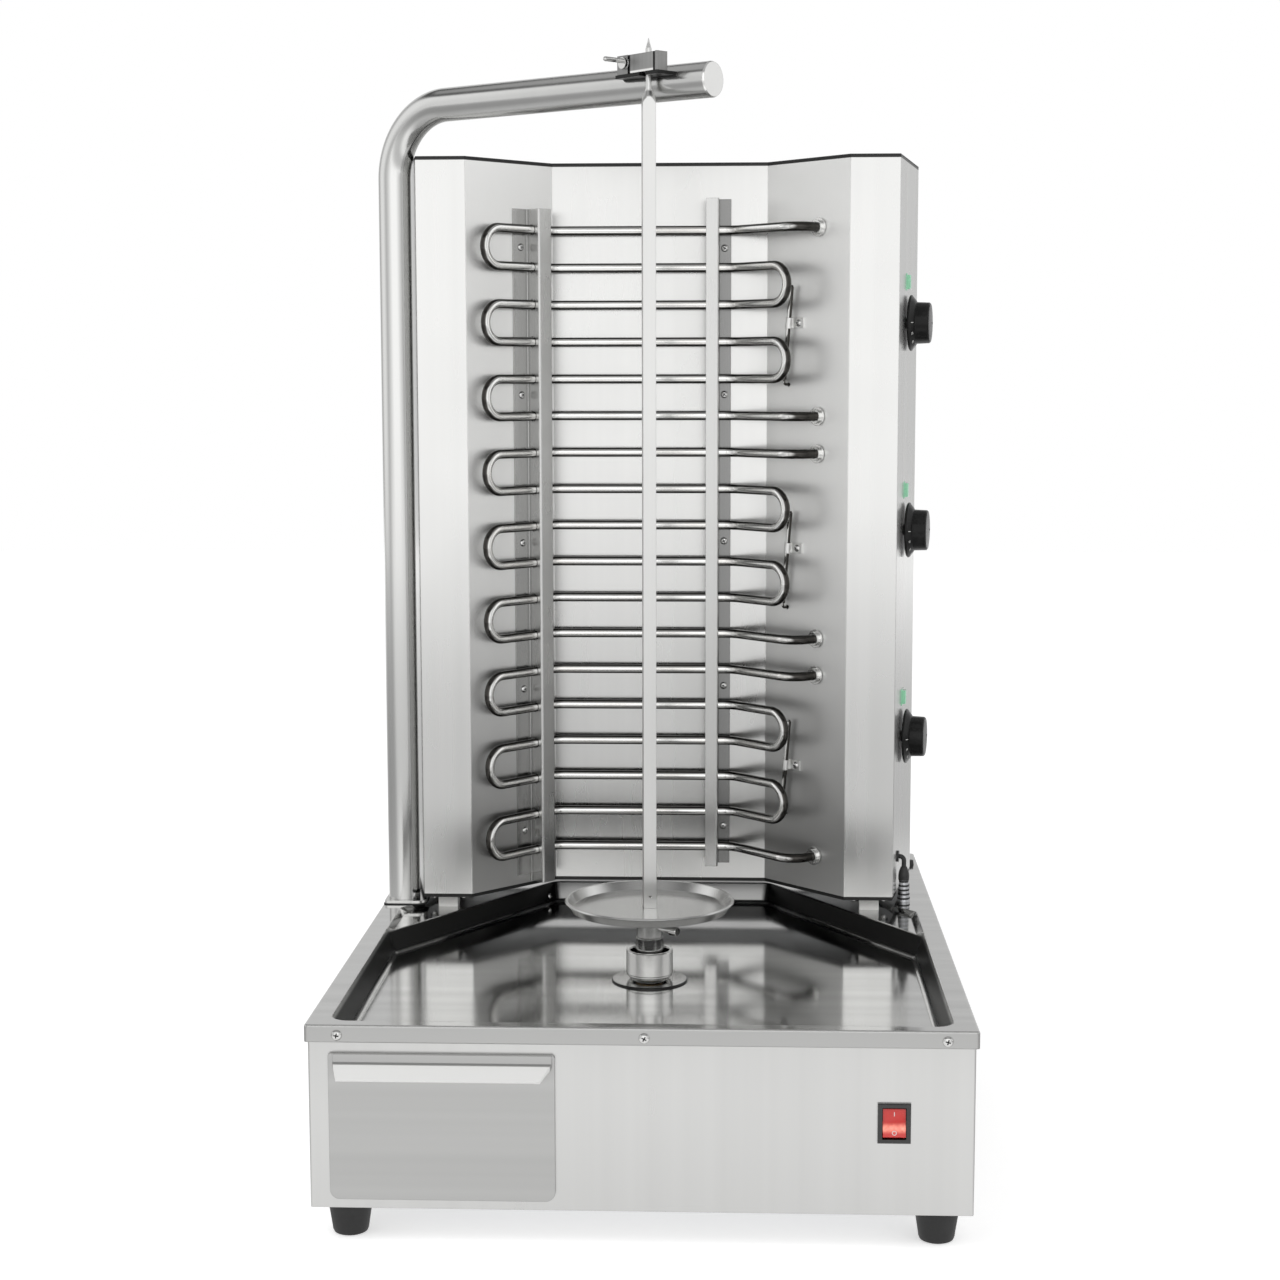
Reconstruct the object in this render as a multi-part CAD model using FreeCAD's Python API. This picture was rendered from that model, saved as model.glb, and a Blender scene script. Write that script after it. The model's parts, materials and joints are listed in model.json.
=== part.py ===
"""Electric vertical skewer grill.

A floor-standing base holds a pressed drip pan, a sliding drawer and a gear motor.  The motor turns
a square skewer with a round plate, steadied at the top by a bearing block on a bent support arm.
Behind it stands a folded heating cabinet with three serpentine elements in pierced rails.
Millimetres, X to the right, Y to the back, Z up, origin on the ground under the middle.
"""
import FreeCAD, Part
import math
import os
from FreeCAD import Placement, Rotation, Vector

# ---- Driving dimensions -------------------------------------------------------------------------
SHEET = 1.2                      # tray, drawer front and pressed plates
THIN_SHEET = 1.0                 # base walls, cabinet walls, drawer box

TRAY_WIDTH = 475.0
TRAY_DEPTH = 585.0
RIM_TOP = 163.5
RIM_SKIRT = 12.5
PAN_HALF_WIDTH = 221.0           # top edge of the deep pan
PAN_FRONT = -281.0
PAN_SIDE_END = -13.0             # where the sides turn into the slanted back walls
PAN_BACK = 179.0
PAN_BACK_HALF_WIDTH = 97.8
PAN_FLOOR = 142.0
PAN_SLOPE = 6.5                  # how far the pan walls lean in at the floor
PAN_FLOOR_ROUND = 5.0            # inside press radius between the pan's floor and walls
EDGE_ROUND = 1.5
LEDGE_TOP = 160.0                # shallow shelf round the pan's slanted back walls
PAN_SCREW = (10.0, 149.0)        # distance from the back corner along the slanted wall, and height
PAN_CORNER_RADII = (14.0, 14.0, 9.0, 10.0, 10.0, 9.0)

BASE_WIDTH = 470.3
BASE_DEPTH = 580.4
BASE_BOTTOM = 29.4
BASE_FLANGE = 42.0
FOOT_X = 212.0
FOOT_Y = 258.0
GLAND_X = 150.0
GLAND_Z = 80.0

DRAWER_FACE = (-220.5, -60.0, 36.5, 143.0)       # left, right, bottom, top
DRAWER_BOX = (-209.0, -71.0, 44.0, 126.0)
DRAWER_BACK = 80.0
DRAWER_FRONT_Y = -BASE_DEPTH / 2 - 2.5
DRAWER_HOLE = (-213.0, -67.0, 40.0, 132.0)
LIP_TOP = 137.0
LIP_DROP = 10.5
LIP_REACH = 10.0

MOTOR_X = 36.0
GEARBOX_BOTTOM = 99.2
GEARBOX_TOP = 132.5
BRACKET_SHEET = 1.5

SWITCH_X = 178.4
SWITCH_Z = 96.5
SWITCH_HALF_WIDTH = 11.6
SWITCH_HALF_HEIGHT = 14.45
ROCKER_RADIUS = 11.1
ROCKER_TILT = 7.0
ROCKER_PIVOT_Y = -BASE_DEPTH / 2 + 2.7

SKEWER_X = -0.8
SKEWER_Y = -88.0
SKEWER_SIDE = 10.0
SKEWER_TURN = 8.0                # the square bar stands a little turned
SKEWER_SHOULDER = 833.0
PIN_RADIUS = 2.3
PIN_TIP = 870.0
PLATE_RADIUS = 66.9
PLATE_BOTTOM = 199.3
SHAFT_RADIUS = 8.0
CUP_BOTTOM = 145.6
CUP_FLOOR = 152.0
CUP_TOP = 167.0
FOOT_TOP = 177.5
PLATE_SCREW_Z = 185.0
PLATE_SCREW_HEADING = -35.0

MAST_X = -220.8
MAST_Y = 84.0
MAST_FOOT = 166.9
TUBE_RADIUS = 13.5
TUBE_WALL = 1.5
TUBE_BEND = 58.0
ARM_HEIGHT = 838.5
ARM_REACH = 322.5
ARM_HEADING = -33.8              # plan angle of the arm, degrees from +X
MAST_SCREW_LENGTH = 4.0

YOKE_HEADING = -46.0             # the clamp is welded on a little turned from the arm
YOKE_FRONT = -6.6
YOKE_BOTTOM = 842.2
YOKE_TOP = 858.9
BLOCK_BOTTOM = 844.9
BLOCK_TOP = 858.6
BLOCK_LEFT = -15.4
BLOCK_RIGHT = 14.1
LOCK_X = -20.4
LOCK_Z = 853.0
LOCK_RADIUS = 4.7

CABINET_FRONT = 69.0
CABINET_BACK = 192.6
CABINET_FRONT_HALF = 201.35
CABINET_BACK_HALF = 226.0
WING_FRONT_HALF = 159.85         # inner edges of the front flanges
BACK_WALL_HALF = 92.95
BACK_WALL_Y = 140.0
CABINET_BOTTOM = 171.5
CABINET_TOP = 797.6
BEAD = 1.3                       # black sealing bead along the top and bottom edges

TUBE_R = 4.0                     # heating element
ROW_TOP = 741.0
ROW_PITCH = 31.62
ROWS_PER_ELEMENT = 6
ELEMENT_COUNT = 3
ROW_Y = 132.0
ELEMENT_LEFT_BEND = -92.4        # x where the rows turn to follow the wings
ELEMENT_RIGHT_BEND = 64.0
LEFT_LEG_ANGLE = 50.0
RIGHT_LEG_ANGLE = 47.2
LEFT_LEG = 80.1
RIGHT_LEG = 65.1
END_LEG = 76.5
END_DROP = 26.6                  # from the end corner to the wing

RAIL_BOTTOM = 174.5
RAIL_TOP = 758.5
RIGHT_RAIL_BOTTOM = 187.0
RIGHT_RAIL_TOP = 767.8
RAIL_SCREW_HEIGHTS = (726.3, 601.0, 473.7, 346.0, 220.5)

KNOB_HEIGHTS = (661.5, 485.0, 305.4)
KNOB_Y = 118.0
PILOT_RISE = 34.5
CLIP_HEIGHTS = (661.7, 469.6, 280.1)
BULB_ABOVE_CLIP = (30.0, 30.0, 38.0)
BULB_LENGTH = 78.0
BULB_Y = 117.5
BULB_PROUD = 5.6
BULB_TILT = 3.1                  # each bulb leans along the wing by this much to both sides of its clip
TAIL_DROP = 4.0
THERMOSTAT_HALF = 19.0
KNOB_LENGTH = 21.0
KNOB_GAP = 2.9

CABLE_X = 213.0
CABLE_Y = 96.0
CABLE_RADIUS = 2.0
CABLE_ENTRY_Z = 203.0
CABLE_START_Z = 84.0
SLEEVE_TOP = 182.5
RIB_COUNT = 5
RIB_PITCH = 3.7
RIB_START = RIM_TOP + 2.3
RIB_HEIGHT = 1.4
TINY = 1e-6

WING_ANGLE = math.degrees(math.atan2(BACK_WALL_Y - CABINET_FRONT, WING_FRONT_HALF - BACK_WALL_HALF))
SIDE_ANGLE = math.degrees(math.atan2(CABINET_BACK_HALF - CABINET_FRONT_HALF, CABINET_BACK - CABINET_FRONT))
UP = Vector(0, 0, 1)
RIGHT = Vector(1, 0, 0)
BACK = Vector(0, 1, 0)


# ---- Geometry helpers ---------------------------------------------------------------------------
def box(x0, x1, y0, y1, z0, z1):
    return Part.makeBox(x1 - x0, y1 - y0, z1 - z0, Vector(x0, y0, z0))


def rod(start, end, radius):
    axis = end - start
    return Part.makeCylinder(radius, axis.Length, start, axis)


def pipe(start, end, outer, inner):
    return rod(start, end, outer).cut(rod(start, end, inner))


def fuse(shapes):
    """One solid out of several that touch or overlap, with shared flat faces merged."""
    return shapes[0].multiFuse(shapes[1:]).removeSplitter()


def group(shapes):
    return Part.makeCompound(shapes)


def at(shape, x=0.0, y=0.0, z=0.0, turn=0.0):
    """A copy turned about Z, then moved."""
    placed = shape.copy()
    placed.Placement = Placement(Vector(x, y, z), Rotation(UP, turn)).multiply(placed.Placement)
    return placed


def heading(angle):
    return Vector(math.cos(math.radians(angle)), math.sin(math.radians(angle)), 0)


def rounded_corner(before, corner, after, radius):
    """Start point, arc and end point of the round that replaces one corner of a path."""
    to_before = (before - corner).normalize()
    to_after = (after - corner).normalize()
    half_angle = to_before.getAngle(to_after) / 2
    setback = radius / math.tan(half_angle)
    start = corner + to_before * setback
    end = corner + to_after * setback
    inwards = (to_before + to_after).normalize()
    middle = corner + inwards * (radius / math.sin(half_angle) - radius)
    return start, Part.Arc(start, middle, end).toShape(), end


def rounded_path(points, radii, closed=False):
    """Straight runs joined by tangent arcs.  A radius of 0 keeps the corner sharp."""
    count = len(points)
    corners = range(count) if closed else range(1, count - 1)
    rounds = {}
    for i in corners:
        if radii[i] > 0:
            rounds[i] = rounded_corner(points[i - 1], points[i], points[(i + 1) % count], radii[i])
    edges = []
    for i in range(count if closed else count - 1):
        following = (i + 1) % count
        start = rounds[i][2] if i in rounds else points[i]
        end = rounds[following][0] if following in rounds else points[following]
        if start.distanceToPoint(end) > TINY:
            edges.append(Part.makeLine(start, end))
        if following in rounds:
            edges.append(rounds[following][1])
    return Part.Wire(edges)


def outline(points, radii, height):
    return rounded_path([Vector(x, y, height) for x, y in points], radii, closed=True)


def prism(points, radii, bottom, top):
    return Part.Face(outline(points, radii, bottom)).extrude(Vector(0, 0, top - bottom))


def tapered(bottom_points, top_points, radii, bottom, top):
    return Part.makeLoft([outline(bottom_points, radii, bottom), outline(top_points, radii, top)], True, True)


def side_profile(points, x0, x1):
    """A YZ outline extruded along X."""
    corners = [Vector(x0, y, z) for y, z in points]
    return Part.Face(Part.makePolygon(corners + corners[:1])).extrude(Vector(x1 - x0, 0, 0))


def turned(profile, axis_x=0.0, axis_y=0.0):
    """Solid of revolution about a vertical axis from (radius, height) points."""
    corners = [Vector(radius, 0, height) for radius, height in profile]
    face = Part.Face(Part.makePolygon(corners + corners[:1]))
    return at(face.revolve(Vector(0, 0, 0), UP, 360), axis_x, axis_y)


def swept_rod(path, radius):
    """Round bar along a path of tangent runs and arcs."""
    first = path.OrderedEdges[0]
    start = first.valueAt(first.FirstParameter)
    direction = first.tangentAt(first.FirstParameter)
    circle = Part.Wire([Part.makeCircle(radius, start, direction)])
    return path.makePipeShell([circle], True, False)


def corner_directions(path, i, closed):
    """Unit directions of the runs that arrive at and leave one point of a plan path."""
    count = len(path)
    arriving = (path[i] - path[i - 1]).normalize() if closed or i > 0 else None
    leaving = (path[(i + 1) % count] - path[i]).normalize() if closed or i < count - 1 else None
    return arriving or leaving, leaving or arriving


def moved_left(path, distance, closed=False):
    """The path moved sideways to its left, with mitred corners."""
    moved = []
    for i, point in enumerate(path):
        arriving, leaving = corner_directions(path, i, closed)
        first_normal = Vector(-arriving.y, arriving.x, 0)
        mitre = (first_normal + Vector(-leaving.y, leaving.x, 0)).normalize()
        moved.append(point + mitre * (distance / mitre.dot(first_normal)))
    return moved


def inset(points, distance):
    """A closed outline, given counter-clockwise, drawn in by a distance."""
    return [(p.x, p.y) for p in moved_left([Vector(x, y, 0) for x, y in points], distance, closed=True)]


def folded_sheet(points, thickness, bend, bottom, top, inside=1):
    """Upright sheet along an open plan path.

    The thickness lies on the left of the path, or on its right where inside is -1.
    """
    path = [Vector(x, y, 0) for x, y in points]
    far_side = moved_left(path, thickness * inside)
    near_radii = []
    far_radii = []
    for i in range(len(path)):
        arriving, leaving = corner_directions(path, i, closed=False)
        turn = arriving.cross(leaving).z * inside
        sharp = abs(turn) < TINY
        near_radii.append(0 if sharp else (bend + thickness if turn > 0 else bend))
        far_radii.append(0 if sharp else (bend if turn > 0 else bend + thickness))
    ring = [(p.x, p.y) for p in path + far_side[::-1]]
    return prism(ring, near_radii + far_radii[::-1], bottom, top)


def rectangle(half_width, front, back):
    return [(-half_width, front), (half_width, front), (half_width, back), (-half_width, back)]


def on_axis(shape):
    """Moves a shape drawn round the Z axis to the skewer's axis."""
    return at(shape, SKEWER_X, SKEWER_Y)


def screw(position, outwards, head_radius, head_height, shank_radius, length):
    """Low conical head on the surface and a plain shank into it."""
    head = Part.makeCone(head_radius, head_radius * 0.72, head_height, position, outwards)
    shank = rod(position - outwards * length, position, shank_radius)
    return head.fuse(shank)


def shanks(places, shank_radius, length):
    """Clearing rods for a row of screws given as (position, outwards) pairs."""
    return [rod(place - out * length, place + out * 0.5, shank_radius) for place, out in places]


def hexagon(position, axis, across_flats, height):
    corner = across_flats / math.sqrt(3)
    frame = Placement(position, Rotation(UP, axis))
    points = [frame.multVec(heading(60 * k) * corner) for k in range(6)]
    return Part.Face(Part.makePolygon(points + points[:1])).extrude(axis * height)


# ---- Places shared by several pieces ------------------------------------------------------------
def side_wall_point(y, z, proud=0.0):
    """A point on the outer face of the cabinet's right wall."""
    x = CABINET_FRONT_HALF + (y - CABINET_FRONT) * math.tan(math.radians(SIDE_ANGLE))
    return Vector(x, y, z) + SIDE_NORMAL * proud


SIDE_NORMAL = heading(-SIDE_ANGLE)
WING_NORMAL_LEFT = heading(WING_ANGLE - 90)
WING_NORMAL_RIGHT = heading(270 - WING_ANGLE)
WING_TANGENT_LEFT = heading(WING_ANGLE)
RIGHT_LEG_HEADING = heading(-RIGHT_LEG_ANGLE)
LEFT_LEG_HEADING = heading(180 + LEFT_LEG_ANGLE)


def row_height(row):
    return ROW_TOP - ROW_PITCH * row


def end_corner(z):
    return Vector(ELEMENT_RIGHT_BEND, ROW_Y, z) + RIGHT_LEG_HEADING * END_LEG


def element_end(row):
    """Where an element's end meets the front face of the right wing."""
    return end_corner(row_height(row)) - WING_NORMAL_RIGHT * END_DROP


def end_rows():
    first_rows = [element * ROWS_PER_ELEMENT for element in range(ELEMENT_COUNT)]
    return sorted(first_rows + [row + ROWS_PER_ELEMENT - 1 for row in first_rows])


def left_wing_point(y):
    return Vector(-BACK_WALL_HALF - (BACK_WALL_Y - y) / math.tan(math.radians(WING_ANGLE)), y, 0)


def right_wing_point(y, z, proud=0.0):
    x = BACK_WALL_HALF + (BACK_WALL_Y - y) / math.tan(math.radians(WING_ANGLE))
    return Vector(x, y, z) + WING_NORMAL_RIGHT * proud


def left_rail_screws():
    middle = left_wing_point(112.8) + WING_NORMAL_LEFT * SHEET
    return [(middle + UP * z, WING_NORMAL_LEFT) for z in RAIL_SCREW_HEIGHTS]


def right_rail_screws():
    middle = Vector(56.0, BACK_WALL_Y - SHEET, 0)
    return [(middle + UP * z, -BACK) for z in RAIL_SCREW_HEIGHTS]


def clip_screws():
    return [(right_wing_point(111.5, z, SHEET), WING_NORMAL_RIGHT) for z in CLIP_HEIGHTS]


def tray_screw_places():
    front = -TRAY_DEPTH / 2
    height = RIM_TOP - 7.3
    places = [(Vector(x, front, height), -BACK) for x in (-214.0, 3.0, 215.0)]
    places += [(Vector(x, -front, height), BACK) for x in (-200.0, 0.0, 200.0)]
    return places


def mast_screw_places():
    """Screws that come up from under the rim into the mast's foot plate."""
    under_rim = RIM_TOP - SHEET
    return [(Vector(x, y, under_rim), -UP) for x, y in ((-229.4, 75.0), (-229.4, 105.0), (-208.5, 105.0))]


def support_places():
    """Centres of the insulating blocks: two on the shelf in front, two on the rim behind."""
    front = [(-182.0, 84.5, LEDGE_TOP), (182.0, 84.5, LEDGE_TOP)]
    rear = [(-186.0, 176.0, RIM_TOP), (186.0, 176.0, RIM_TOP)]
    return front + rear


def support_bolt_places():
    """Points on the underside of the cabinet on both sides of each block."""
    sides = (-12.7, 12.7)
    return [Vector(x + side, y, CABINET_BOTTOM) for x, y, _ in support_places() for side in sides]


def foot_places():
    return [(x, y) for x in (-FOOT_X, FOOT_X) for y in (-FOOT_Y, FOOT_Y)]


def motor_screw_places():
    foot_top = BASE_BOTTOM + 2 * THIN_SHEET + BRACKET_SHEET
    return [(Vector(x, y, foot_top), UP) for x in (-36.0, 76.0) for y in (-147.5, -28.5)]


# ---- Base ---------------------------------------------------------------------------------------
def base_shell():
    half_width = BASE_WIDTH / 2
    half_depth = BASE_DEPTH / 2
    inner_width = half_width - THIN_SHEET
    inner_depth = half_depth - THIN_SHEET
    top = RIM_TOP - SHEET
    shell = prism(rectangle(half_width, -half_depth, half_depth), [2.0] * 4, BASE_BOTTOM, top)
    inside = rectangle(inner_width, -inner_depth, inner_depth)
    shell = shell.cut(prism(inside, [1.0] * 4, BASE_BOTTOM + THIN_SHEET, top))
    mouth = rectangle(half_width - BASE_FLANGE, BASE_FLANGE - half_depth, half_depth - BASE_FLANGE)
    shell = shell.cut(prism(mouth, [8.0] * 4, BASE_BOTTOM, BASE_BOTTOM + THIN_SHEET))
    left, right, bottom, drawer_top = DRAWER_HOLE
    cutters = [box(left, right, -half_depth - 1, -inner_depth + 1, bottom, drawer_top)]
    cutters.append(box(SWITCH_X - 10.4, SWITCH_X + 10.4, -half_depth - 1, -inner_depth + 1,
                       SWITCH_Z - 12.8, SWITCH_Z + 12.8))
    gland = Vector(GLAND_X, half_depth, GLAND_Z)
    cutters.append(rod(gland - BACK * 2, gland + BACK, 8.0))
    for k in range(7):
        x = -150 + 22 * k
        cutters.append(box(x, x + 8, inner_depth - 1, half_depth + 1, 60, 110))
    cutters += shanks(tray_screw_places(), 2.0, 8.0)
    cutters += [rod(Vector(x, y, 20), Vector(x, y, 40), 2.5) for x, y in foot_places()]
    return shell.cut(group(cutters))


def base_bottom():
    """Floor plate lying on the shell's inner flanges, with air slots under the motor."""
    floor = BASE_BOTTOM + THIN_SHEET
    plate = prism(rectangle(BASE_WIDTH / 2 - 1.6, 1.6 - BASE_DEPTH / 2, BASE_DEPTH / 2 - 1.6),
                  [3.0] * 4, floor, floor + THIN_SHEET)
    cutters = [box(-10 + 14 * k, -4 + 14 * k, -118, -58, floor - 1, floor + 3) for k in range(5)]
    cutters += [rod(Vector(x, y, 20), Vector(x, y, 40), 2.5) for x, y in foot_places()]
    cutters += shanks(motor_screw_places(), 2.0, 6.0)
    return plate.cut(group(cutters))


def pan_outline(drawn_in):
    """Plan of the deep pan at its rim: a rectangle that narrows into a V under the cabinet."""
    side, back_half = PAN_HALF_WIDTH, PAN_BACK_HALF_WIDTH
    plan = [(-side, PAN_FRONT), (side, PAN_FRONT), (side, PAN_SIDE_END),
            (back_half, PAN_BACK), (-back_half, PAN_BACK), (-side, PAN_SIDE_END)]
    return inset(plan, drawn_in)


def pan_void(grow, floor):
    """Room inside the pan, or grown by the sheet, with rounded corners and floor edges."""
    low = [Vector(x, y, floor) for x, y in pan_outline(PAN_SLOPE - grow)]
    high = [Vector(x, y, RIM_TOP) for x, y in pan_outline(-grow)]
    void = frustum(low, high)
    for corner, radius in zip(low, PAN_CORNER_RADII):
        uprights = [edge for edge in void.Edges if not is_level(edge)]
        void = void.makeFillet(radius + grow, [min(uprights, key=lambda edge: nearness(edge, corner))])
    return void.makeFillet(PAN_FLOOR_ROUND + grow, level_edges(void, floor))


def frustum(low, high):
    """Solid with flat leaning walls between two level outlines given counter-clockwise."""
    walls = [[low[i - 1], low[i], high[i], high[i - 1]] for i in range(len(low))]
    faces = [Part.Face(Part.makePolygon(ring + ring[:1])) for ring in [low[::-1], high] + walls]
    return Part.Solid(Part.Shell(faces))


def is_level(edge):
    return abs(edge.Vertexes[0].Z - edge.Vertexes[-1].Z) < TINY


def nearness(edge, point):
    return min(vertex.Point.distanceToPoint(point) for vertex in edge.Vertexes)


def level_edges(shape, height):
    return [edge for edge in shape.Edges if all(abs(v.Z - height) < TINY * 100 for v in edge.Vertexes)]


def is_rim_edge(edge):
    middle = edge.CenterOfMass
    return abs(middle.x) > TRAY_WIDTH / 2 - SHEET or abs(middle.y) > TRAY_DEPTH / 2 - SHEET


def slanted_wall_point(from_corner, height):
    """A point on the pan's left slanted wall, and the direction that wall faces."""
    corner, side_end = [Vector(x, y, RIM_TOP) for x, y in pan_outline(0.0)[4:]]
    x, y = pan_outline(PAN_SLOPE)[4]
    down = Vector(x, y, PAN_FLOOR) - corner
    along = (side_end - corner).normalize()
    drop = (RIM_TOP - height) / (RIM_TOP - PAN_FLOOR)
    return corner + down * drop + along * from_corner, along.cross(down).normalize()


def both_sides(points):
    """Right-hand outline points, bottom to top, completed with their mirror images."""
    return points + [(-x, y) for x, y in points[::-1]]


def shelf_void(grow, floor):
    """Shallow pocket with a soft back edge, wider than the pan's V."""
    low = both_sides([(216.0 + grow, PAN_SIDE_END - 30), (216.0 + grow, 57.0), (199.0, 76.0 + grow),
                      (193.0, 98.0 + grow), (108.0, 190.0 + grow)])
    high = both_sides([(221.0 + grow, PAN_SIDE_END - 30), (221.0 + grow, 57.5), (203.0, 76.0 + grow),
                       (196.5, 99.0 + grow), (111.0, 194.0 + grow)])
    radii = [2.0, 9.0, 8.0, 12.0, 10.0]
    return tapered(low, high, radii + radii[::-1], floor, RIM_TOP)


def tray_pan():
    """Rim with a turned-down skirt, the deep V-backed pan and a shallow shelf behind it."""
    half_width = TRAY_WIDTH / 2
    half_depth = TRAY_DEPTH / 2
    block = prism(rectangle(half_width, -half_depth, half_depth), [3.0] * 4, RIM_TOP - RIM_SKIRT, RIM_TOP)
    under = rectangle(half_width - SHEET, SHEET - half_depth, half_depth - SHEET)
    rim = block.cut(prism(under, [1.8] * 4, RIM_TOP - RIM_SKIRT, RIM_TOP - SHEET))
    tray = rim.multiFuse([pan_void(SHEET, PAN_FLOOR - SHEET), shelf_void(SHEET, LEDGE_TOP - SHEET)])
    voids = [pan_void(0.0, PAN_FLOOR), shelf_void(0.0, LEDGE_TOP)]
    voids.append(on_axis(rod(UP * 130, UP * 150, 11.0)))
    voids.append(rod(Vector(CABLE_X, CABLE_Y, 155), Vector(CABLE_X, CABLE_Y, 170), 3.0))
    voids.append(rod(ledge_plug_place() - UP * 8, ledge_plug_place() + UP, 2.0))
    voids += shanks(tray_screw_places(), 2.0, 8.0)
    voids += shanks(mast_screw_places(), 2.0, 3.0)
    voids += shanks([slanted_wall_point(*PAN_SCREW)], 1.5, 4.0)
    voids += [rod(Vector(x, y, z - 5), Vector(x, y, z + 5), 2.0) for x, y, z in support_places()]
    tray = tray.cut(group(voids)).removeSplitter()
    tray = tray.makeFillet(EDGE_ROUND, [edge for edge in level_edges(tray, RIM_TOP) if is_rim_edge(edge)])
    pan = voids[0]
    pan_edges = [edge for edge in level_edges(tray, LEDGE_TOP) if lies_on(pan, edge.CenterOfMass)]
    return tray.makeFillet(EDGE_ROUND, pan_edges)


def lies_on(shape, point):
    return shape.distToShape(Part.Vertex(point))[0] < 0.01


def ledge_plug_place():
    return Vector(231.0, 243.0, RIM_TOP)


def tray_screws():
    rim_screws = [screw(place, out, 3.9, 2.0, 2.0, 7.0) for place, out in tray_screw_places()]
    return group(rim_screws + [screw(*slanted_wall_point(*PAN_SCREW), 2.6, 1.5, 1.5, 5.0)])


def feet():
    """Tapered rubber feet with a rounded tread and a screw well underneath."""
    profile = [(2.5, 8.0), (6.5, 8.0), (6.5, 0.0), (10.5, 0.0), (12.2, 0.8), (13.0, 2.6),
               (16.75, BASE_BOTTOM - 3.0), (16.75, BASE_BOTTOM), (2.5, BASE_BOTTOM)]
    return group([turned(profile, x, y) for x, y in foot_places()])


def foot_screws():
    end = BASE_BOTTOM + 2 * THIN_SHEET
    profile = [(0, 4.6), (5.0, 4.6), (5.0, 8.0), (2.5, 8.0), (2.5, end), (0, end)]
    return group([turned(profile, x, y) for x, y in foot_places()])


def drawer_runners():
    """Two angle rails on the floor plate, each with a ledge under the drawer's bottom edge."""
    floor = BASE_BOTTOM + 2 * THIN_SHEET
    left, right, bottom, _ = DRAWER_BOX
    rails = []
    for edge, side in ((left, -1), (right, 1)):
        web = edge + side * 1.5
        outer = web + side * THIN_SHEET
        foot = web + side * 13.0
        ledge = edge - side * 9.0
        front = -BASE_DEPTH / 2 + 2.0
        back = DRAWER_BACK + 40.0
        pieces = [box(min(web, outer), max(web, outer), front, back, floor, 66.0)]
        pieces.append(box(min(web, foot), max(web, foot), front, back, floor, floor + THIN_SHEET))
        pieces.append(box(min(web, ledge), max(web, ledge), front, back, bottom - 1.3, bottom - 0.3))
        rails.append(fuse(pieces))
    return group(rails)


def drawer_box():
    left, right, bottom, top = DRAWER_BOX
    front = DRAWER_FRONT_Y + SHEET
    outer = prism([(left, front), (right, front), (right, DRAWER_BACK), (left, DRAWER_BACK)],
                  [3.0] * 4, bottom, top)
    t = THIN_SHEET
    inner = prism([(left + t, front + t), (right - t, front + t), (right - t, DRAWER_BACK - t),
                   (left + t, DRAWER_BACK - t)], [2.0] * 4, bottom + t, top)
    hem = [box(left, left + 4, front + 4, DRAWER_BACK - 4, top - 2 * t, top)]
    hem.append(box(right - 4, right, front + 4, DRAWER_BACK - 4, top - 2 * t, top))
    return fuse([outer.cut(inner)] + hem)


def drawer_front():
    """Face plate with short returns all round and a sloped pull lip along its top."""
    left, right, bottom, top = DRAWER_FACE
    front = DRAWER_FRONT_Y
    corners = [Vector(left, front, top), Vector(right, front, top),
               Vector(right, front, bottom), Vector(left, front, bottom)]
    edge = rounded_path(corners, [2.0, 2.0, 7.0, 7.0], closed=True)
    face = Part.Face(edge).extrude(Vector(0, 2.2, 0))
    corners = [Vector(left + SHEET, front + SHEET, top - SHEET),
               Vector(right - SHEET, front + SHEET, top - SHEET),
               Vector(right - SHEET, front + SHEET, bottom + SHEET),
               Vector(left + SHEET, front + SHEET, bottom + SHEET)]
    hollow = Part.Face(rounded_path(corners, [1.0, 1.0, 6.0, 6.0], closed=True)).extrude(Vector(0, 3.0, 0))
    tip_y = front - SHEET - LIP_REACH
    tip_z = LIP_TOP - LIP_DROP
    root_y = front - SHEET
    root_left, root_right = left + 3.5, right - 1.9
    tip_left, tip_right = left + 8.0, right - 11.5
    lip = side_profile([(front, top), (front, LIP_TOP - 2.0), (tip_y + 0.6, tip_z - 0.6),
                        (tip_y, tip_z + 0.6), (root_y, LIP_TOP + 0.4), (root_y, top)], root_left, root_right)
    left_corner = [(left, root_y), (root_left, root_y), (tip_left, tip_y - 2), (left, tip_y - 2)]
    right_corner = [(right, root_y), (right, tip_y - 2), (tip_right, tip_y - 2), (root_right, root_y)]
    trims = [prism(corner, [0] * 4, tip_z - 5, top + 1) for corner in (left_corner, right_corner)]
    return fuse([face.cut(hollow), lip.cut(group(trims))])


def motor_bracket():
    """Hat-shaped stand: two feet on the floor plate and a top plate open for the motor."""
    floor = BASE_BOTTOM + 2 * THIN_SHEET
    t = BRACKET_SHEET
    top = GEARBOX_BOTTOM
    front, back = -140.0, -36.0
    hat = side_profile([(front - 15, floor), (front + t, floor), (front + t, top - t), (back - t, top - t),
                        (back - t, floor), (back + 15, floor), (back + 15, floor + t), (back, floor + t),
                        (back, top), (front, top), (front, floor + t), (front - 15, floor + t)], -44.0, 84.0)
    cutters = [rod(Vector(MOTOR_X, SKEWER_Y, 90), Vector(MOTOR_X, SKEWER_Y, 110), 33.0)]
    cutters += shanks(motor_screw_places(), 2.0, 6.0)
    cutters += shanks(gearbox_screw_places(), 2.0, 6.0)
    return hat.cut(group(cutters))


def gearbox_screw_places():
    underside = GEARBOX_BOTTOM - BRACKET_SHEET
    return [(Vector(x, y, underside), -UP) for x in (-24.0, 74.0) for y in (-118.0, -58.0)]


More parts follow.
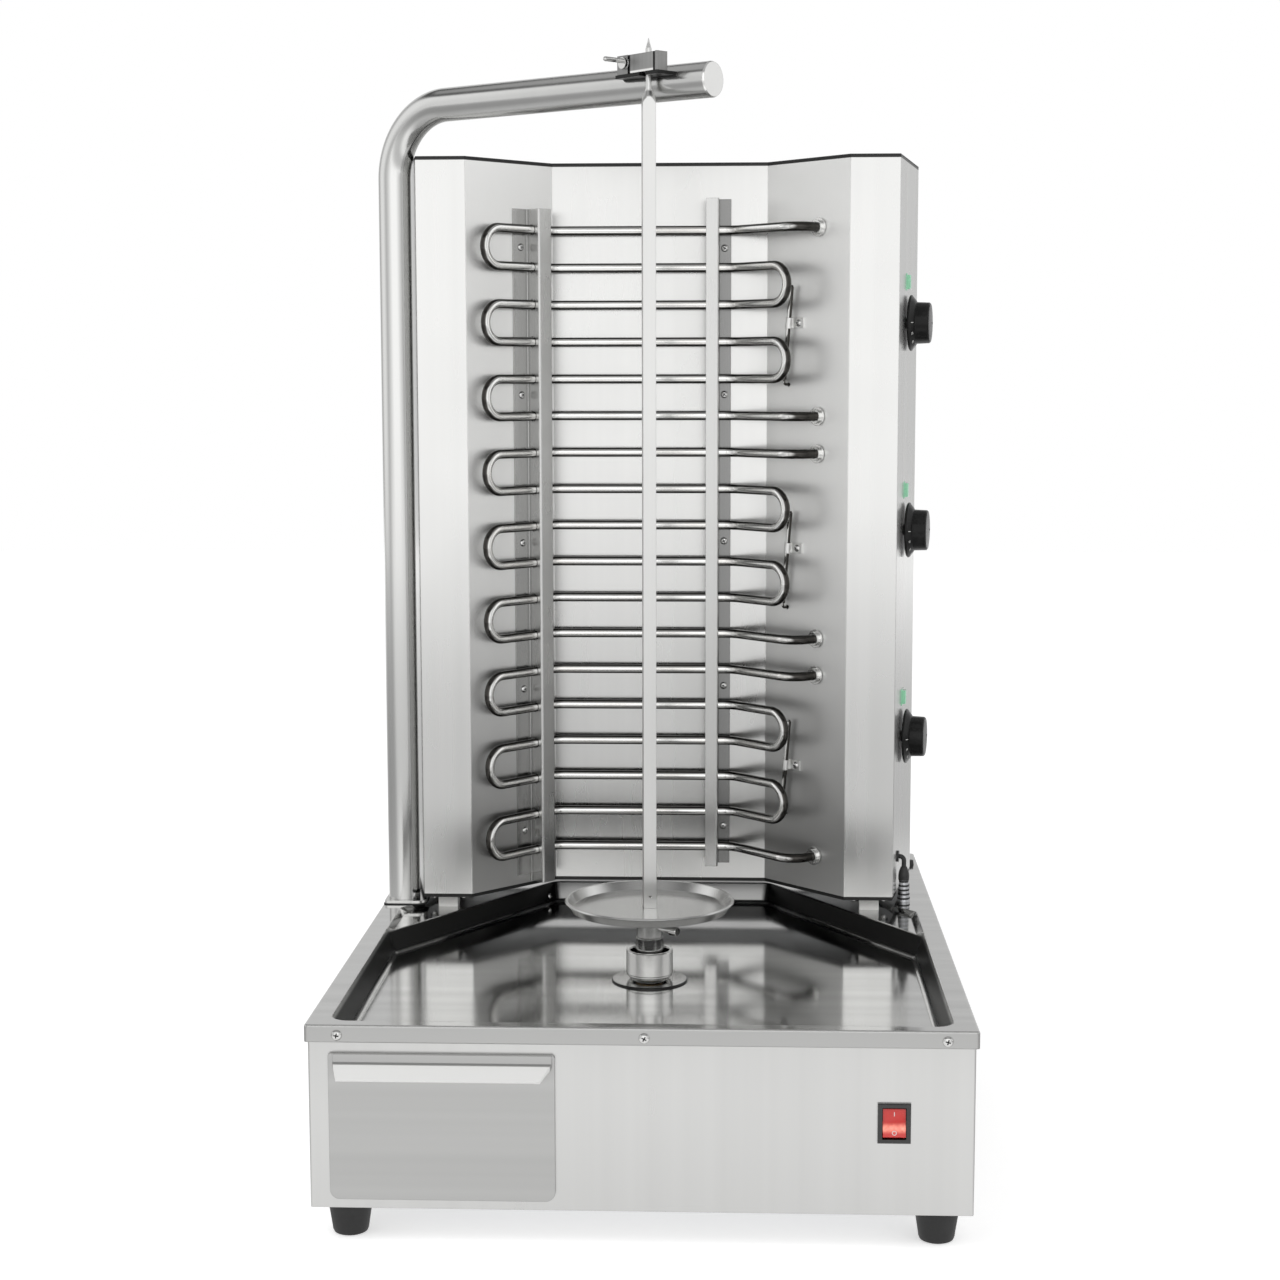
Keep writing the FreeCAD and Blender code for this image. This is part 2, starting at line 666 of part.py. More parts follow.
def gearmotor():
    """Flat cast gearbox with the motor can hanging under its far end."""
    plan = [(-31, SKEWER_Y - 37), (81, SKEWER_Y - 37), (81, SKEWER_Y + 37), (-31, SKEWER_Y + 37)]
    case = prism(plan, [12.0] * 4, GEARBOX_BOTTOM, GEARBOX_TOP)
    lid = prism([(x * 0.9 + 2.5, (y - SKEWER_Y) * 0.9 + SKEWER_Y) for x, y in plan], [9.0] * 4,
                GEARBOX_TOP, GEARBOX_TOP + 1.6)
    can = rod(Vector(MOTOR_X, SKEWER_Y, 44), Vector(MOTOR_X, SKEWER_Y, GEARBOX_BOTTOM), 31.0)
    cap = rod(Vector(MOTOR_X, SKEWER_Y, 40), Vector(MOTOR_X, SKEWER_Y, 44), 12.0)
    bore = on_axis(rod(UP * 112, UP * (GEARBOX_TOP + 3), SHAFT_RADIUS + 0.06))
    cutters = [bore] + [rod(place + UP * -2, place + UP * 10, 2.0) for place, _ in gearbox_screw_places()]
    return fuse([case, lid, can, cap]).cut(group(cutters))


def gearmotor_screws():
    pieces = [screw(place, out, 4.2, 2.6, 2.0, 5.5) for place, out in motor_screw_places()]
    pieces += [screw(place, out, 3.8, 2.4, 2.0, 9.5) for place, out in gearbox_screw_places()]
    return group(pieces)


def hub_flange():
    """Flat ring with a raised inner lip, sealing the shaft hole in the pan floor."""
    profile = [(11.0, PAN_FLOOR), (30.0, PAN_FLOOR), (30.0, PAN_FLOOR + 0.9), (29.1, PAN_FLOOR + 1.5),
               (14.5, PAN_FLOOR + 1.5), (13.8, PAN_FLOOR + 2.4), (11.0, PAN_FLOOR + 2.4)]
    return on_axis(turned(profile))


def hub_bush():
    bottom = GEARBOX_TOP + 1.6
    inner = SHAFT_RADIUS + 0.05
    profile = [(inner, bottom), (14.0, bottom), (14.0, PAN_FLOOR - SHEET), (11.0, PAN_FLOOR - SHEET),
               (11.0, CUP_BOTTOM - 0.7), (inner, CUP_BOTTOM - 0.7)]
    return on_axis(turned(profile))


def switch_body():
    """Snap-in housing: a bezel over the panel, a hollow body behind it and four blades."""
    front = -BASE_DEPTH / 2
    bezel = box(SWITCH_X - SWITCH_HALF_WIDTH, SWITCH_X + SWITCH_HALF_WIDTH, front - 2.4, front,
                SWITCH_Z - SWITCH_HALF_HEIGHT, SWITCH_Z + SWITCH_HALF_HEIGHT)
    bevel = [edge for edge in bezel.Edges if all(abs(v.Y - (front - 2.4)) < TINY for v in edge.Vertexes)]
    bezel = bezel.makeChamfer(0.7, bevel)
    body = box(SWITCH_X - 10.3, SWITCH_X + 10.3, front, front + 26, SWITCH_Z - 12.7, SWITCH_Z + 12.7)
    cavity = box(SWITCH_X - 8.4, SWITCH_X + 8.4, front - 3, ROCKER_PIVOT_Y + 4.0,
                 SWITCH_Z - 11.4, SWITCH_Z + 11.4)
    pivot = Vector(SWITCH_X, ROCKER_PIVOT_Y, SWITCH_Z)
    bearing = rod(pivot - RIGHT * 9.4, pivot + RIGHT * 9.4, 1.05)
    blade = box(-0.4, 0.4, front + 26, front + 36, -3, 3)
    blades = [at(blade, SWITCH_X + x, 0, SWITCH_Z + z) for x in (-5, 5) for z in (-6, 6)]
    return fuse([bezel, body] + blades).cut(group([cavity, bearing]))


def switch_rocker():
    """Rocker with a shallow V face, pressed in at its upper half."""
    corner_y = -5.1
    corner_z = math.sqrt(ROCKER_RADIUS ** 2 - corner_y ** 2)
    back_z = math.sqrt(ROCKER_RADIUS ** 2 - 4.0)
    upper = [Vector(0, corner_y, corner_z), Vector(0, 0, ROCKER_RADIUS), Vector(0, 2.0, back_z)]
    lower = [Vector(0, v.y, -v.z) for v in upper[::-1]]
    middle = Vector(0, -3.9, 0)
    edges = [Part.Arc(*upper).toShape(), Part.makeLine(upper[2], lower[0]), Part.Arc(*lower).toShape(),
             Part.makeLine(lower[2], middle), Part.makeLine(middle, upper[0])]
    face = Part.Face(Part.Wire(edges))
    face.translate(Vector(-8.0, 0, 0))
    pin = rod(Vector(-9.2, 0, 0), Vector(9.2, 0, 0), 1.0)
    rocker = fuse([face.extrude(Vector(16.0, 0, 0)), pin])
    rocker.Placement = Placement(Vector(SWITCH_X, ROCKER_PIVOT_Y, SWITCH_Z), Rotation(RIGHT, -ROCKER_TILT))
    return rocker


def terminal_block():
    """Moulded strip under the cable entry, with a barrier between each pair of clamps."""
    left, right = CABLE_X - 10.0, CABLE_X + 10.0
    base = box(left, right, CABLE_Y - 25, CABLE_Y + 25, BASE_BOTTOM + 2 * THIN_SHEET, CABLE_START_Z)
    barriers = [box(left, right, CABLE_Y + y - 1, CABLE_Y + y + 1, CABLE_START_Z, CABLE_START_Z + 8)
                for y in (-18, -6, 6, 18)]
    return fuse([base] + barriers)


def mains_gland():
    """Cord inlet in the back wall: dome and hexagon outside, lock nut inside, open bore."""
    wall = BASE_DEPTH / 2
    x, z = GLAND_X, GLAND_Z
    hexes = [hexagon(Vector(x, wall, z), BACK, 22.0, 5.0)]
    hexes.append(hexagon(Vector(x, wall - THIN_SHEET, z), -BACK, 22.0, 4.0))
    neck = rod(Vector(x, wall - 8, z), Vector(x, wall + 8, z), 8.0)
    dome = Part.makeCone(9.0, 6.5, 8.5, Vector(x, wall + 5, z), BACK)
    bore = rod(Vector(x, wall - 10, z), Vector(x, wall + 16, z), 4.0)
    return fuse(hexes + [neck, dome]).cut(bore)


# ---- Mast, arm and top bearing ------------------------------------------------------------------
def mast_foot_outline(drawn_in):
    left, right = -237.0 + drawn_in, -199.5 - drawn_in
    front, back = 67.0 + drawn_in, 112.0 - drawn_in
    return [(left, front), (right, front), (right, 78.0), (-201.5 - drawn_in, back), (left, back)]


def mast_gasket():
    gasket = prism(mast_foot_outline(0.0), [3.0, 9.0, 3.0, 3.0, 3.0], RIM_TOP, RIM_TOP + 0.8)
    return gasket.cut(group(shanks(mast_screw_places(), 2.0, 3.0)))


def mast_plate():
    plate = prism(mast_foot_outline(0.8), [3.0, 9.0, 3.0, 3.0, 3.0], RIM_TOP + 0.8, MAST_FOOT)
    return plate.cut(group(shanks(mast_screw_places(), 2.0, MAST_SCREW_LENGTH)))


def mast_screws():
    return group([screw(place, out, 4.2, 2.6, 2.0, MAST_SCREW_LENGTH) for place, out in mast_screw_places()])


def arm_path(start_height):
    foot = Vector(MAST_X, MAST_Y, start_height)
    corner = Vector(MAST_X, MAST_Y, ARM_HEIGHT)
    end = corner + heading(ARM_HEADING) * ARM_REACH
    return rounded_path([foot, corner, end], [0, TUBE_BEND, 0])


def mast_tube():
    path = arm_path(MAST_FOOT)
    return swept_rod(path, TUBE_RADIUS).cut(swept_rod(path, TUBE_RADIUS - TUBE_WALL))


def mast_cap():
    """Flat disc welded over the open end of the arm."""
    end = Vector(MAST_X, MAST_Y, ARM_HEIGHT) + heading(ARM_HEADING) * ARM_REACH
    plug = rod(end - heading(ARM_HEADING) * 5, end, TUBE_RADIUS - TUBE_WALL)
    disc = Part.makeCone(TUBE_RADIUS, TUBE_RADIUS - 0.7, 1.6, end, heading(ARM_HEADING))
    return plug.fuse(disc).removeSplitter()


def on_yoke(shape):
    """From the clamp's own frame (X along the block, origin on the skewer's axis) to its place."""
    return at(shape, SKEWER_X, SKEWER_Y, 0, YOKE_HEADING)


def top_yoke():
    """Open-topped clamp welded to the arm: thick left ear with the lock pin's bore, thin right ear."""
    ear_back = 3.0
    left, right = -30.6, BLOCK_RIGHT + 2.6
    left_ear = box(left + 1.2, BLOCK_LEFT - 1.2, YOKE_FRONT, ear_back, YOKE_BOTTOM, YOKE_TOP)
    right_ear = box(BLOCK_RIGHT + 0.3, right, YOKE_FRONT, 4.6, YOKE_BOTTOM, YOKE_TOP)
    floor = box(left, right + 1.0, YOKE_FRONT, 15.0, YOKE_BOTTOM, BLOCK_BOTTOM - 0.2)
    left_ear = left_ear.makeFillet(1.5, [e for e in left_ear.Edges if is_outer_upright(e)])
    right_ear = right_ear.makeFillet(1.2, [e for e in right_ear.Edges if is_outer_upright(e)])
    slot = box(-3.5, 3.5, YOKE_FRONT - 1, 0, YOKE_BOTTOM - 1, BLOCK_BOTTOM)
    eye = rod(UP * (YOKE_BOTTOM - 1), UP * BLOCK_BOTTOM, 3.5)
    lock_axis = Vector(LOCK_X, 0, LOCK_Z)
    lock = rod(lock_axis + BACK * (YOKE_FRONT - 1), lock_axis + BACK * (ear_back + 1), LOCK_RADIUS + 0.06)
    clamp = on_yoke(fuse([left_ear, right_ear, floor]).cut(group([slot, eye, lock])))
    corner = Vector(MAST_X, MAST_Y, ARM_HEIGHT)
    arm = rod(corner, corner + heading(ARM_HEADING) * ARM_REACH, TUBE_RADIUS)
    return clamp.cut(arm)


def is_outer_upright(edge):
    """True for the vertical edges of an ear that face away from the bearing block."""
    start, end = edge.Vertexes[0].Point, edge.Vertexes[-1].Point
    upright = abs(start.x - end.x) < TINY and abs(start.y - end.y) < TINY
    return upright and (start.x < BLOCK_LEFT - 5 or start.x > BLOCK_RIGHT + 1)


def bearing_block():
    block = box(BLOCK_LEFT, BLOCK_RIGHT, YOKE_FRONT, 4.4, BLOCK_BOTTOM, BLOCK_TOP)
    uprights = [edge for edge in block.Edges if abs(edge.tangentAt(0).z) > 0.9]
    block = block.makeFillet(1.0, uprights)
    bore = rod(UP * (BLOCK_BOTTOM - 1), UP * (BLOCK_TOP + 1), PIN_RADIUS + 0.06)
    return on_yoke(block.cut(bore))


def lock_pin():
    """Cam pin through the left ear; a flat on it frees the block when its off-centre handle is turned."""
    axis = Vector(LOCK_X, 0, LOCK_Z)
    handle = axis + Vector(-2.6, 0, 2.2)
    collar_front = YOKE_FRONT - 2.6
    handle_end = handle + BACK * (collar_front - 14.0)
    body = rod(axis + BACK * YOKE_FRONT, axis + BACK * 2.6, LOCK_RADIUS)
    flat = box(LOCK_X - 6, LOCK_X - 3.6, YOKE_FRONT - 1, 3.0, LOCK_Z - 6, LOCK_Z + 6)
    collar = rod(axis + BACK * collar_front, axis + BACK * YOKE_FRONT, LOCK_RADIUS - 0.3)
    stem = rod(handle_end, handle + BACK * collar_front, 1.8)
    return on_yoke(fuse([body.cut(flat), collar, stem, Part.makeSphere(1.8, handle_end)]))


# ---- Skewer -------------------------------------------------------------------------------------
def skewer_square(half_side, bottom, top):
    return on_axis(at(box(-half_side, half_side, -half_side, half_side, bottom, top), turn=SKEWER_TURN))


def drive_shaft():
    return on_axis(rod(UP * 114.0, UP * CUP_BOTTOM, SHAFT_RADIUS))


def drive_cup():
    """Turned cup with a driving slot across its floor."""
    profile = [(0, CUP_BOTTOM), (16.8, CUP_BOTTOM), (17.9, CUP_BOTTOM + 1.6), (17.9, CUP_BOTTOM + 2.6),
               (18.5, CUP_BOTTOM + 3.2), (18.5, CUP_TOP - 0.8), (17.9, CUP_TOP), (15.9, CUP_TOP),
               (15.2, CUP_TOP - 0.8), (15.2, CUP_FLOOR), (0, CUP_FLOOR)]
    slot = at(box(-12.0, 12.0, -2.9, 2.9, CUP_BOTTOM + 1.5, CUP_FLOOR + 1), turn=SKEWER_TURN)
    return on_axis(turned(profile).cut(slot))


def skewer_foot():
    """Round foot welded to the bar, with a tongue for the cup's slot."""
    profile = [(0, CUP_FLOOR + 0.3), (11.3, CUP_FLOOR + 0.3), (12.0, CUP_FLOOR + 1.0), (10.9, FOOT_TOP - 0.6),
               (10.4, FOOT_TOP), (0, FOOT_TOP)]
    tongue = at(box(-10.8, 10.8, -2.6, 2.6, CUP_BOTTOM + 2.0, CUP_FLOOR + 1.5), turn=SKEWER_TURN)
    socket = skewer_square(SKEWER_SIDE / 2, CUP_FLOOR + 8, FOOT_TOP + 1)
    return on_axis(fuse([turned(profile), tongue])).cut(socket)


def skewer_bar():
    """Square bar pencil-pointed into a round pin with a sharp tip and a small cross hole."""
    square = skewer_square(SKEWER_SIDE / 2, CUP_FLOOR + 8, SKEWER_SHOULDER)
    reach = SKEWER_SIDE
    shaping = on_axis(turned([(0, CUP_FLOOR), (reach, CUP_FLOOR), (reach, SKEWER_SHOULDER - 18.0),
                              (PIN_RADIUS, SKEWER_SHOULDER), (0, SKEWER_SHOULDER)]))
    pin = on_axis(turned([(0, SKEWER_SHOULDER - 3), (PIN_RADIUS, SKEWER_SHOULDER - 3),
                          (PIN_RADIUS, PIN_TIP - 8.0), (0.9, PIN_TIP - 3.0), (0.25, PIN_TIP), (0, PIN_TIP)]))
    hole = rod(Vector(-SKEWER_SIDE, 0, 0), Vector(SKEWER_SIDE, 0, 0), 0.9)
    hole = on_axis(at(hole, z=PLATE_BOTTOM + 11.2, turn=SKEWER_TURN + 90))
    return fuse([square.common(shaping), pin]).cut(hole)


def skewer_plate():
    """Shallow spun dish with a rolled rim, welded to a collar that slides on the bar."""
    z = PLATE_BOTTOM
    edge = PLATE_RADIUS
    dish = [(0, z), (edge - 5.6, z), (edge - 1.5, z + 6.0), (edge - 0.3, z + 6.3), (edge, z + 7.2),
            (edge - 0.7, z + 8.2), (edge - 2.3, z + 8.2), (edge - 6.4, z + 1.5), (0, z + 1.5)]
    collar = [(0, FOOT_TOP + 0.3), (10.3, FOOT_TOP + 0.3), (10.3, z + 0.5), (0, z + 0.5)]
    solid = on_axis(fuse([turned(dish), turned(collar)]))
    bore = skewer_square(SKEWER_SIDE / 2 + 0.35, FOOT_TOP - 1, z + 5)
    axis = heading(PLATE_SCREW_HEADING)
    centre = Vector(SKEWER_X, SKEWER_Y, PLATE_SCREW_Z)
    thread = rod(centre + axis * 4.0, centre + axis * 12.0, 2.46)
    return solid.cut(group([bore, thread]))


def plate_screw():
    """Thumbscrew that locks the plate's collar on the bar."""
    axis = heading(PLATE_SCREW_HEADING)
    centre = Vector(SKEWER_X, SKEWER_Y, PLATE_SCREW_Z)
    thread = rod(centre + axis * 7.4, centre + axis * 21.0, 2.4)
    head = rod(centre + axis * 20.5, centre + axis * 27.5, 3.7)
    rims = [edge for edge in head.Edges if edge.Curve.TypeId == "Part::GeomCircle"]
    return fuse([thread, head.makeChamfer(0.5, rims)])


# ---- Heating cabinet ----------------------------------------------------------------------------
def reflector_points():
    return [(-CABINET_FRONT_HALF, CABINET_FRONT), (-WING_FRONT_HALF, CABINET_FRONT),
            (-BACK_WALL_HALF, BACK_WALL_Y), (BACK_WALL_HALF, BACK_WALL_Y),
            (WING_FRONT_HALF, CABINET_FRONT), (CABINET_FRONT_HALF, CABINET_FRONT)]


def cabinet_outline():
    return reflector_points() + [(CABINET_BACK_HALF, CABINET_BACK), (-CABINET_BACK_HALF, CABINET_BACK)]


def reflector():
    """One folded sheet: two front flanges, two wings and the back wall."""
    sheet = folded_sheet(reflector_points(), THIN_SHEET, 1.0, CABINET_BOTTOM, CABINET_TOP)
    cutters = []
    for row in end_rows():
        place = element_end(row)
        cutters.append(rod(place - WING_NORMAL_RIGHT * 4, place + WING_NORMAL_RIGHT * 4, TUBE_R + 0.3))
    cutters += shanks(left_rail_screws() + right_rail_screws() + clip_screws(), 1.75, 5.0)
    for clip in CLIP_HEIGHTS:
        low = bulb_ends(clip)[0] - UP * TAIL_DROP
        cutters.append(rod(low - WING_NORMAL_RIGHT * 14, low, 1.8))
    return sheet.cut(group(cutters))


def cabinet_shell():
    """Slanted side walls and back wall in one sheet, lapped behind the reflector's flanges."""
    y = CABINET_FRONT + THIN_SHEET
    flare = math.tan(math.radians(SIDE_ANGLE)) * THIN_SHEET
    front_half = CABINET_FRONT_HALF + flare
    points = [(-front_half + 13, y), (-front_half, y), (-CABINET_BACK_HALF, CABINET_BACK),
              (CABINET_BACK_HALF, CABINET_BACK), (front_half, y), (front_half - 13, y)]
    shell = folded_sheet(points, THIN_SHEET, 1.0, CABINET_BOTTOM, CABINET_TOP, inside=-1)
    cutters = []
    for bottom in (215.0, 690.0):
        for k in range(9):
            x = -88 + 22 * k
            cutters.append(box(x - 4, x + 4, CABINET_BACK - 3, CABINET_BACK + 1, bottom, bottom + 55))
    for z in KNOB_HEIGHTS:
        cutters.append(rod(side_wall_point(KNOB_Y, z, -4), side_wall_point(KNOB_Y, z, 4), 4.8))
        pilot = box(-4, 4, -4.2, 4.2, -5.5, 5.5)
        cutters.append(at(pilot, *side_wall_point(KNOB_Y, z + PILOT_RISE), -SIDE_ANGLE))
    cutters.append(rod(cable_entry(-8.0), cable_entry(4.0), 4.0))
    cutters += shanks(cabinet_screw_places(), 1.75, 5.0)
    return shell.cut(group(cutters))


def cover_plate(bottom):
    """Flat cover that fits inside the folded sheets."""
    outline_points = inset(cabinet_outline(), 2 * THIN_SHEET + 0.3)
    return prism(outline_points, [1.0] * 8, bottom, bottom + THIN_SHEET)


def sealing_bead(bottom):
    """Thin black bead over the joint between a cover and the sheets."""
    ring = prism(inset(cabinet_outline(), 0.2), [0] * 8, bottom, bottom + BEAD)
    return ring.cut(prism(inset(cabinet_outline(), 3.2), [0] * 8, bottom, bottom + BEAD))


def cabinet_gaskets():
    return group([sealing_bead(CABINET_TOP), sealing_bead(CABINET_BOTTOM - BEAD)])


def top_cover():
    return cover_plate(CABINET_TOP - THIN_SHEET).cut(group(shanks(cover_screw_places(), 1.75, 5.0)))


def bottom_cover():
    cutters = [rod(place - UP * 5, place + UP * 5, 2.0) for place in support_bolt_places()]
    cutters += [rod(Vector(x, y, z), Vector(x, y, z + 20), 2.0) for x, y, z in support_places()]
    return cover_plate(CABINET_BOTTOM).cut(group(cutters))


def cover_screw_places():
    places = ((-185, 96), (185, 96), (-196, 166), (196, 166), (0, 168))
    return [(Vector(x, y, CABINET_TOP), UP) for x, y in places]


def cabinet_screw_places():
    """Screws that hold the slanted walls to the inner folds, along the back wall's edges."""
    return [(Vector(x, CABINET_BACK, z), BACK) for x in (-205, 205) for z in (200, 485, 770)]


def cabinet_screws():
    places = cabinet_screw_places() + cover_screw_places()
    return group([screw(place, out, 3.4, 1.8, 1.75, 4.0) for place, out in places])


def support_blocks():
    """White insulating blocks that keep the hot cabinet off the tray."""
    blocks = [box(x - 8.3, x + 8.3, y - 7.5, y + 7.5, z, CABINET_BOTTOM) for x, y, z in support_places()]
    bores = [rod(Vector(x, y, z - 1), Vector(x, y, z + 20), 2.0) for x, y, z in support_places()]
    return group([block.cut(bore) for block, bore in zip(blocks, bores)])


def support_bolts():
    """A screw up through each block, and a bolt with a nut on each side of it."""
    pieces = []
    for x, y, z in support_places():
        head = z - SHEET
        through = rod(Vector(x, y, head), Vector(x, y, CABINET_BOTTOM + 3), 2.0)
        pieces.append(fuse([through, Part.makeCone(2.8, 4.0, 2.4, Vector(x, y, head - 2.4), UP)]))
    for place in support_bolt_places():
        stem = rod(place - UP * 5.0, place + UP * 3.0, 2.0)
        nut = hexagon(place - UP * 3.2, UP, 7.0, 3.2)
        head = hexagon(place + UP * THIN_SHEET, UP, 7.0, 2.6)
        pieces.append(fuse([stem, nut, head]))
    return group(pieces)


# ---- Rails and elements -------------------------------------------------------------------------
def rail_holes(place, direction):
    """Clearing rods for every row, along one direction through a point in plan."""
    hole = rod(place - direction * 5, place + direction * 5, TUBE_R + 0.4)
    return [at(hole, z=row_height(row)) for row in range(ROWS_PER_ELEMENT * ELEMENT_COUNT)]


def rail_left():
    """Z rail on the left wing: base strip, pierced web and front lip."""
    base = left_wing_point(106.6)
    corner = base + WING_TANGENT_LEFT * 17.0
    ridge = corner + WING_NORMAL_LEFT * 15.2
    lip = ridge + WING_TANGENT_LEFT * 12.5
    points = [(p.x, p.y) for p in (base, corner, ridge, lip)]
    rail = folded_sheet(points, SHEET, 0.8, RAIL_BOTTOM, RAIL_TOP, inside=-1)
    notch = at(box(-1.0, 15.0, -3.0, 1.0, RAIL_BOTTOM - 1, RAIL_BOTTOM + 6.5), base.x, base.y, 0, WING_ANGLE)
    crossing = Vector(ELEMENT_LEFT_BEND, ROW_Y, 0) + LEFT_LEG_HEADING * 24.2
    cutters = rail_holes(crossing, LEFT_LEG_HEADING)
    cutters += shanks(left_rail_screws(), 1.75, 5.0)
    return rail.cut(group(cutters + [notch]))


def rail_right():
    """The matching rail on the back wall, with its lip towards the middle."""
    y = BACK_WALL_Y
    points = [(61.6, y), (50.2, y), (50.2, y - 15.5), (40.2, y - 15.5)]
    rail = folded_sheet(points, SHEET, 0.8, RIGHT_RAIL_BOTTOM, RIGHT_RAIL_TOP, inside=1)
    cutters = rail_holes(Vector(50.8, ROW_Y, 0), RIGHT)
    cutters += shanks(right_rail_screws(), 1.75, 5.0)
    return rail.cut(group(cutters))


def element(number):
    """Serpentine tube: six rows that follow the wings, both ends through the right wing."""
    first = number * ROWS_PER_ELEMENT
    u_radius = ROW_PITCH / 2
    points = []
    radii = []
    start = end_corner(row_height(first)) - WING_NORMAL_RIGHT * (END_DROP + 12.0)
    points.append(start)
    radii.append(0)
    points.append(end_corner(row_height(first)))
    radii.append(17.0)
    for k in range(ROWS_PER_ELEMENT):
        z = row_height(first + k)
        right_bend = Vector(ELEMENT_RIGHT_BEND, ROW_Y, z)
        left_bend = Vector(ELEMENT_LEFT_BEND, ROW_Y, z)
        right_tip = right_bend + RIGHT_LEG_HEADING * RIGHT_LEG
        left_tip = left_bend + LEFT_LEG_HEADING * LEFT_LEG
        leftwards = k % 2 == 0
        row_points = [right_bend, left_bend, left_tip] if leftwards else [left_tip, left_bend, right_bend]
        row_radii = [18.0, 15.0, u_radius] if leftwards else [u_radius, 15.0, 18.0]
        if not leftwards and k < ROWS_PER_ELEMENT - 1:
            row_points.append(right_tip)
            row_radii.append(u_radius)
        if leftwards and k > 0:
            row_points.insert(0, right_tip)
            row_radii.insert(0, u_radius)
        points += row_points
        radii += row_radii
    last = end_corner(row_height(first + ROWS_PER_ELEMENT - 1))
    points += [last, last - WING_NORMAL_RIGHT * (END_DROP + 12.0)]
    radii += [17.0, 0]
    tube = swept_rod(rounded_path(points, radii), TUBE_R)
    studs = [rod(p, p - WING_NORMAL_RIGHT * 9.0, 1.6) for p in (points[0], points[-1])]
    return fuse([tube] + studs)


def element_collars():
    """Flanged bushes that hold each element end in the wing."""
    pieces = []
    for row in end_rows():
        face = element_end(row)
        out = WING_NORMAL_RIGHT
        flange = rod(face, face + out * 1.6, 8.0)
        neck = rod(face + out * 1.6, face + out * 4.6, 6.0)
        tube = rod(face - out * 2, face + out * 6, TUBE_R)
        pieces.append(flange.fuse(neck).cut(tube).removeSplitter())
    return group(pieces)


def reflector_screws():
    places = left_rail_screws() + right_rail_screws() + clip_screws()
    return group([screw(place, out, 3.2, 1.9, 1.75, 4.5) for place, out in places])


# ---- Thermostats, knobs and pilot lights --------------------------------------------------------
def bulb_ends(clip):
    """Bottom and top of the bulb held by the clip at one height."""
    above = BULB_ABOVE_CLIP[CLIP_HEIGHTS.index(clip)]
    bottom = right_wing_point(BULB_Y + BULB_TILT, clip + above - BULB_LENGTH, BULB_PROUD)
    top = right_wing_point(BULB_Y - BULB_TILT, clip + above, BULB_PROUD)
    return bottom, top


def sensor_bulbs():
    """Thin sensing bulbs standing off the right wing; each thin tail goes back through the wing."""
    pieces = []
    for clip in CLIP_HEIGHTS:
        bottom, top = bulb_ends(clip)
        low = bottom - UP * TAIL_DROP
        inside = low - WING_NORMAL_RIGHT * 14.0
        tail = swept_rod(rounded_path([bottom, low, inside], [0, 2.5, 0]), 1.1)
        tip = Part.makeCone(2.0, 1.0, 2.0, top, top - bottom)
        pieces.append(fuse([rod(bottom, top, 2.0), tip, tail]))
    return group(pieces)


def sensor_clips():
    """Strap round each bulb with a tab that is screwed to the wing."""
    pieces = []
    for clip in CLIP_HEIGHTS:
        bottom, top = bulb_ends(clip)
        lean = (top - bottom).normalize()
        centre = bottom + lean * ((clip - bottom.z) / lean.z)
        loop = pipe(centre - lean * 4.5, centre + lean * 4.5, 2.8, 2.0)
        start = centre - WING_NORMAL_RIGHT * BULB_PROUD
        tab = box(-2.6, 13.0, -SHEET, 0, -4.5, 4.5)
        stem = box(-0.6, 0.6, -BULB_PROUD + 2.2, 0, -4.5, 4.5)
        strap = at(tab.fuse(stem), start.x, start.y, start.z, -WING_ANGLE)
        pieces.append(fuse([loop, strap]).cut(group(shanks(clip_screws(), 1.75, 5.0))))
    return group(pieces)


def thermostats():
    """Capillary thermostats fixed behind the right wall, each with a bored bush for its spindle."""
    pieces = []
    for z in KNOB_HEIGHTS:
        body = box(-33.0, -THIN_SHEET, -24.0, 24.0, -THERMOSTAT_HALF, THERMOSTAT_HALF)
        cap = box(-41.0, -33.0, -16.0, 16.0, -15.0, 15.0)
        bush = rod(Vector(-THIN_SHEET, 0, 0), Vector(0.8, 0, 0), 4.8)
        bore = rod(Vector(-20.4, 0, 0), Vector(1.0, 0, 0), 3.06)
        case = fuse([body, cap, bush]).cut(bore)
        pieces.append(at(case, *side_wall_point(KNOB_Y, z), -SIDE_ANGLE))
    return group(pieces)


def spindle(number):
    shaft = rod(Vector(-20.0, 0, 0), Vector(16.0, 0, 0), 3.0)
    flat = box(6.0, 17.0, -4.0, 4.0, 1.6, 4.0)
    return at(shaft.cut(flat), *side_wall_point(KNOB_Y, KNOB_HEIGHTS[number]), -SIDE_ANGLE)


def knob(number):
    """Flared skirt and a plain barrel with a pointer groove in its crown."""
    gap = KNOB_GAP
    profile = [(0, gap), (22.6, gap), (23.6, gap + 0.8), (23.6, gap + 2.0), (21.8, gap + 3.2),
               (19.0, gap + 5.4), (17.6, gap + 6.2), (17.2, KNOB_LENGTH - 1.4),
               (16.2, KNOB_LENGTH - 0.4), (12.0, KNOB_LENGTH), (0, KNOB_LENGTH)]
    pointer = box(-0.8, 0.8, 4.0, 14.6, KNOB_LENGTH - 0.6, KNOB_LENGTH + 1)
    solid = turned(profile).cut(pointer)
    solid.Placement = Placement(Vector(0, 0, 0), Rotation(BACK, 90)).multiply(solid.Placement)
    return at(solid.cut(spindle_socket()), *side_wall_point(KNOB_Y, KNOB_HEIGHTS[number]), -SIDE_ANGLE)


def spindle_socket():
    shaft = rod(Vector(0.0, 0, 0), Vector(16.0, 0, 0), 3.0)
    return shaft.cut(box(6.0, 17.0, -4.0, 4.0, 1.6, 4.0))


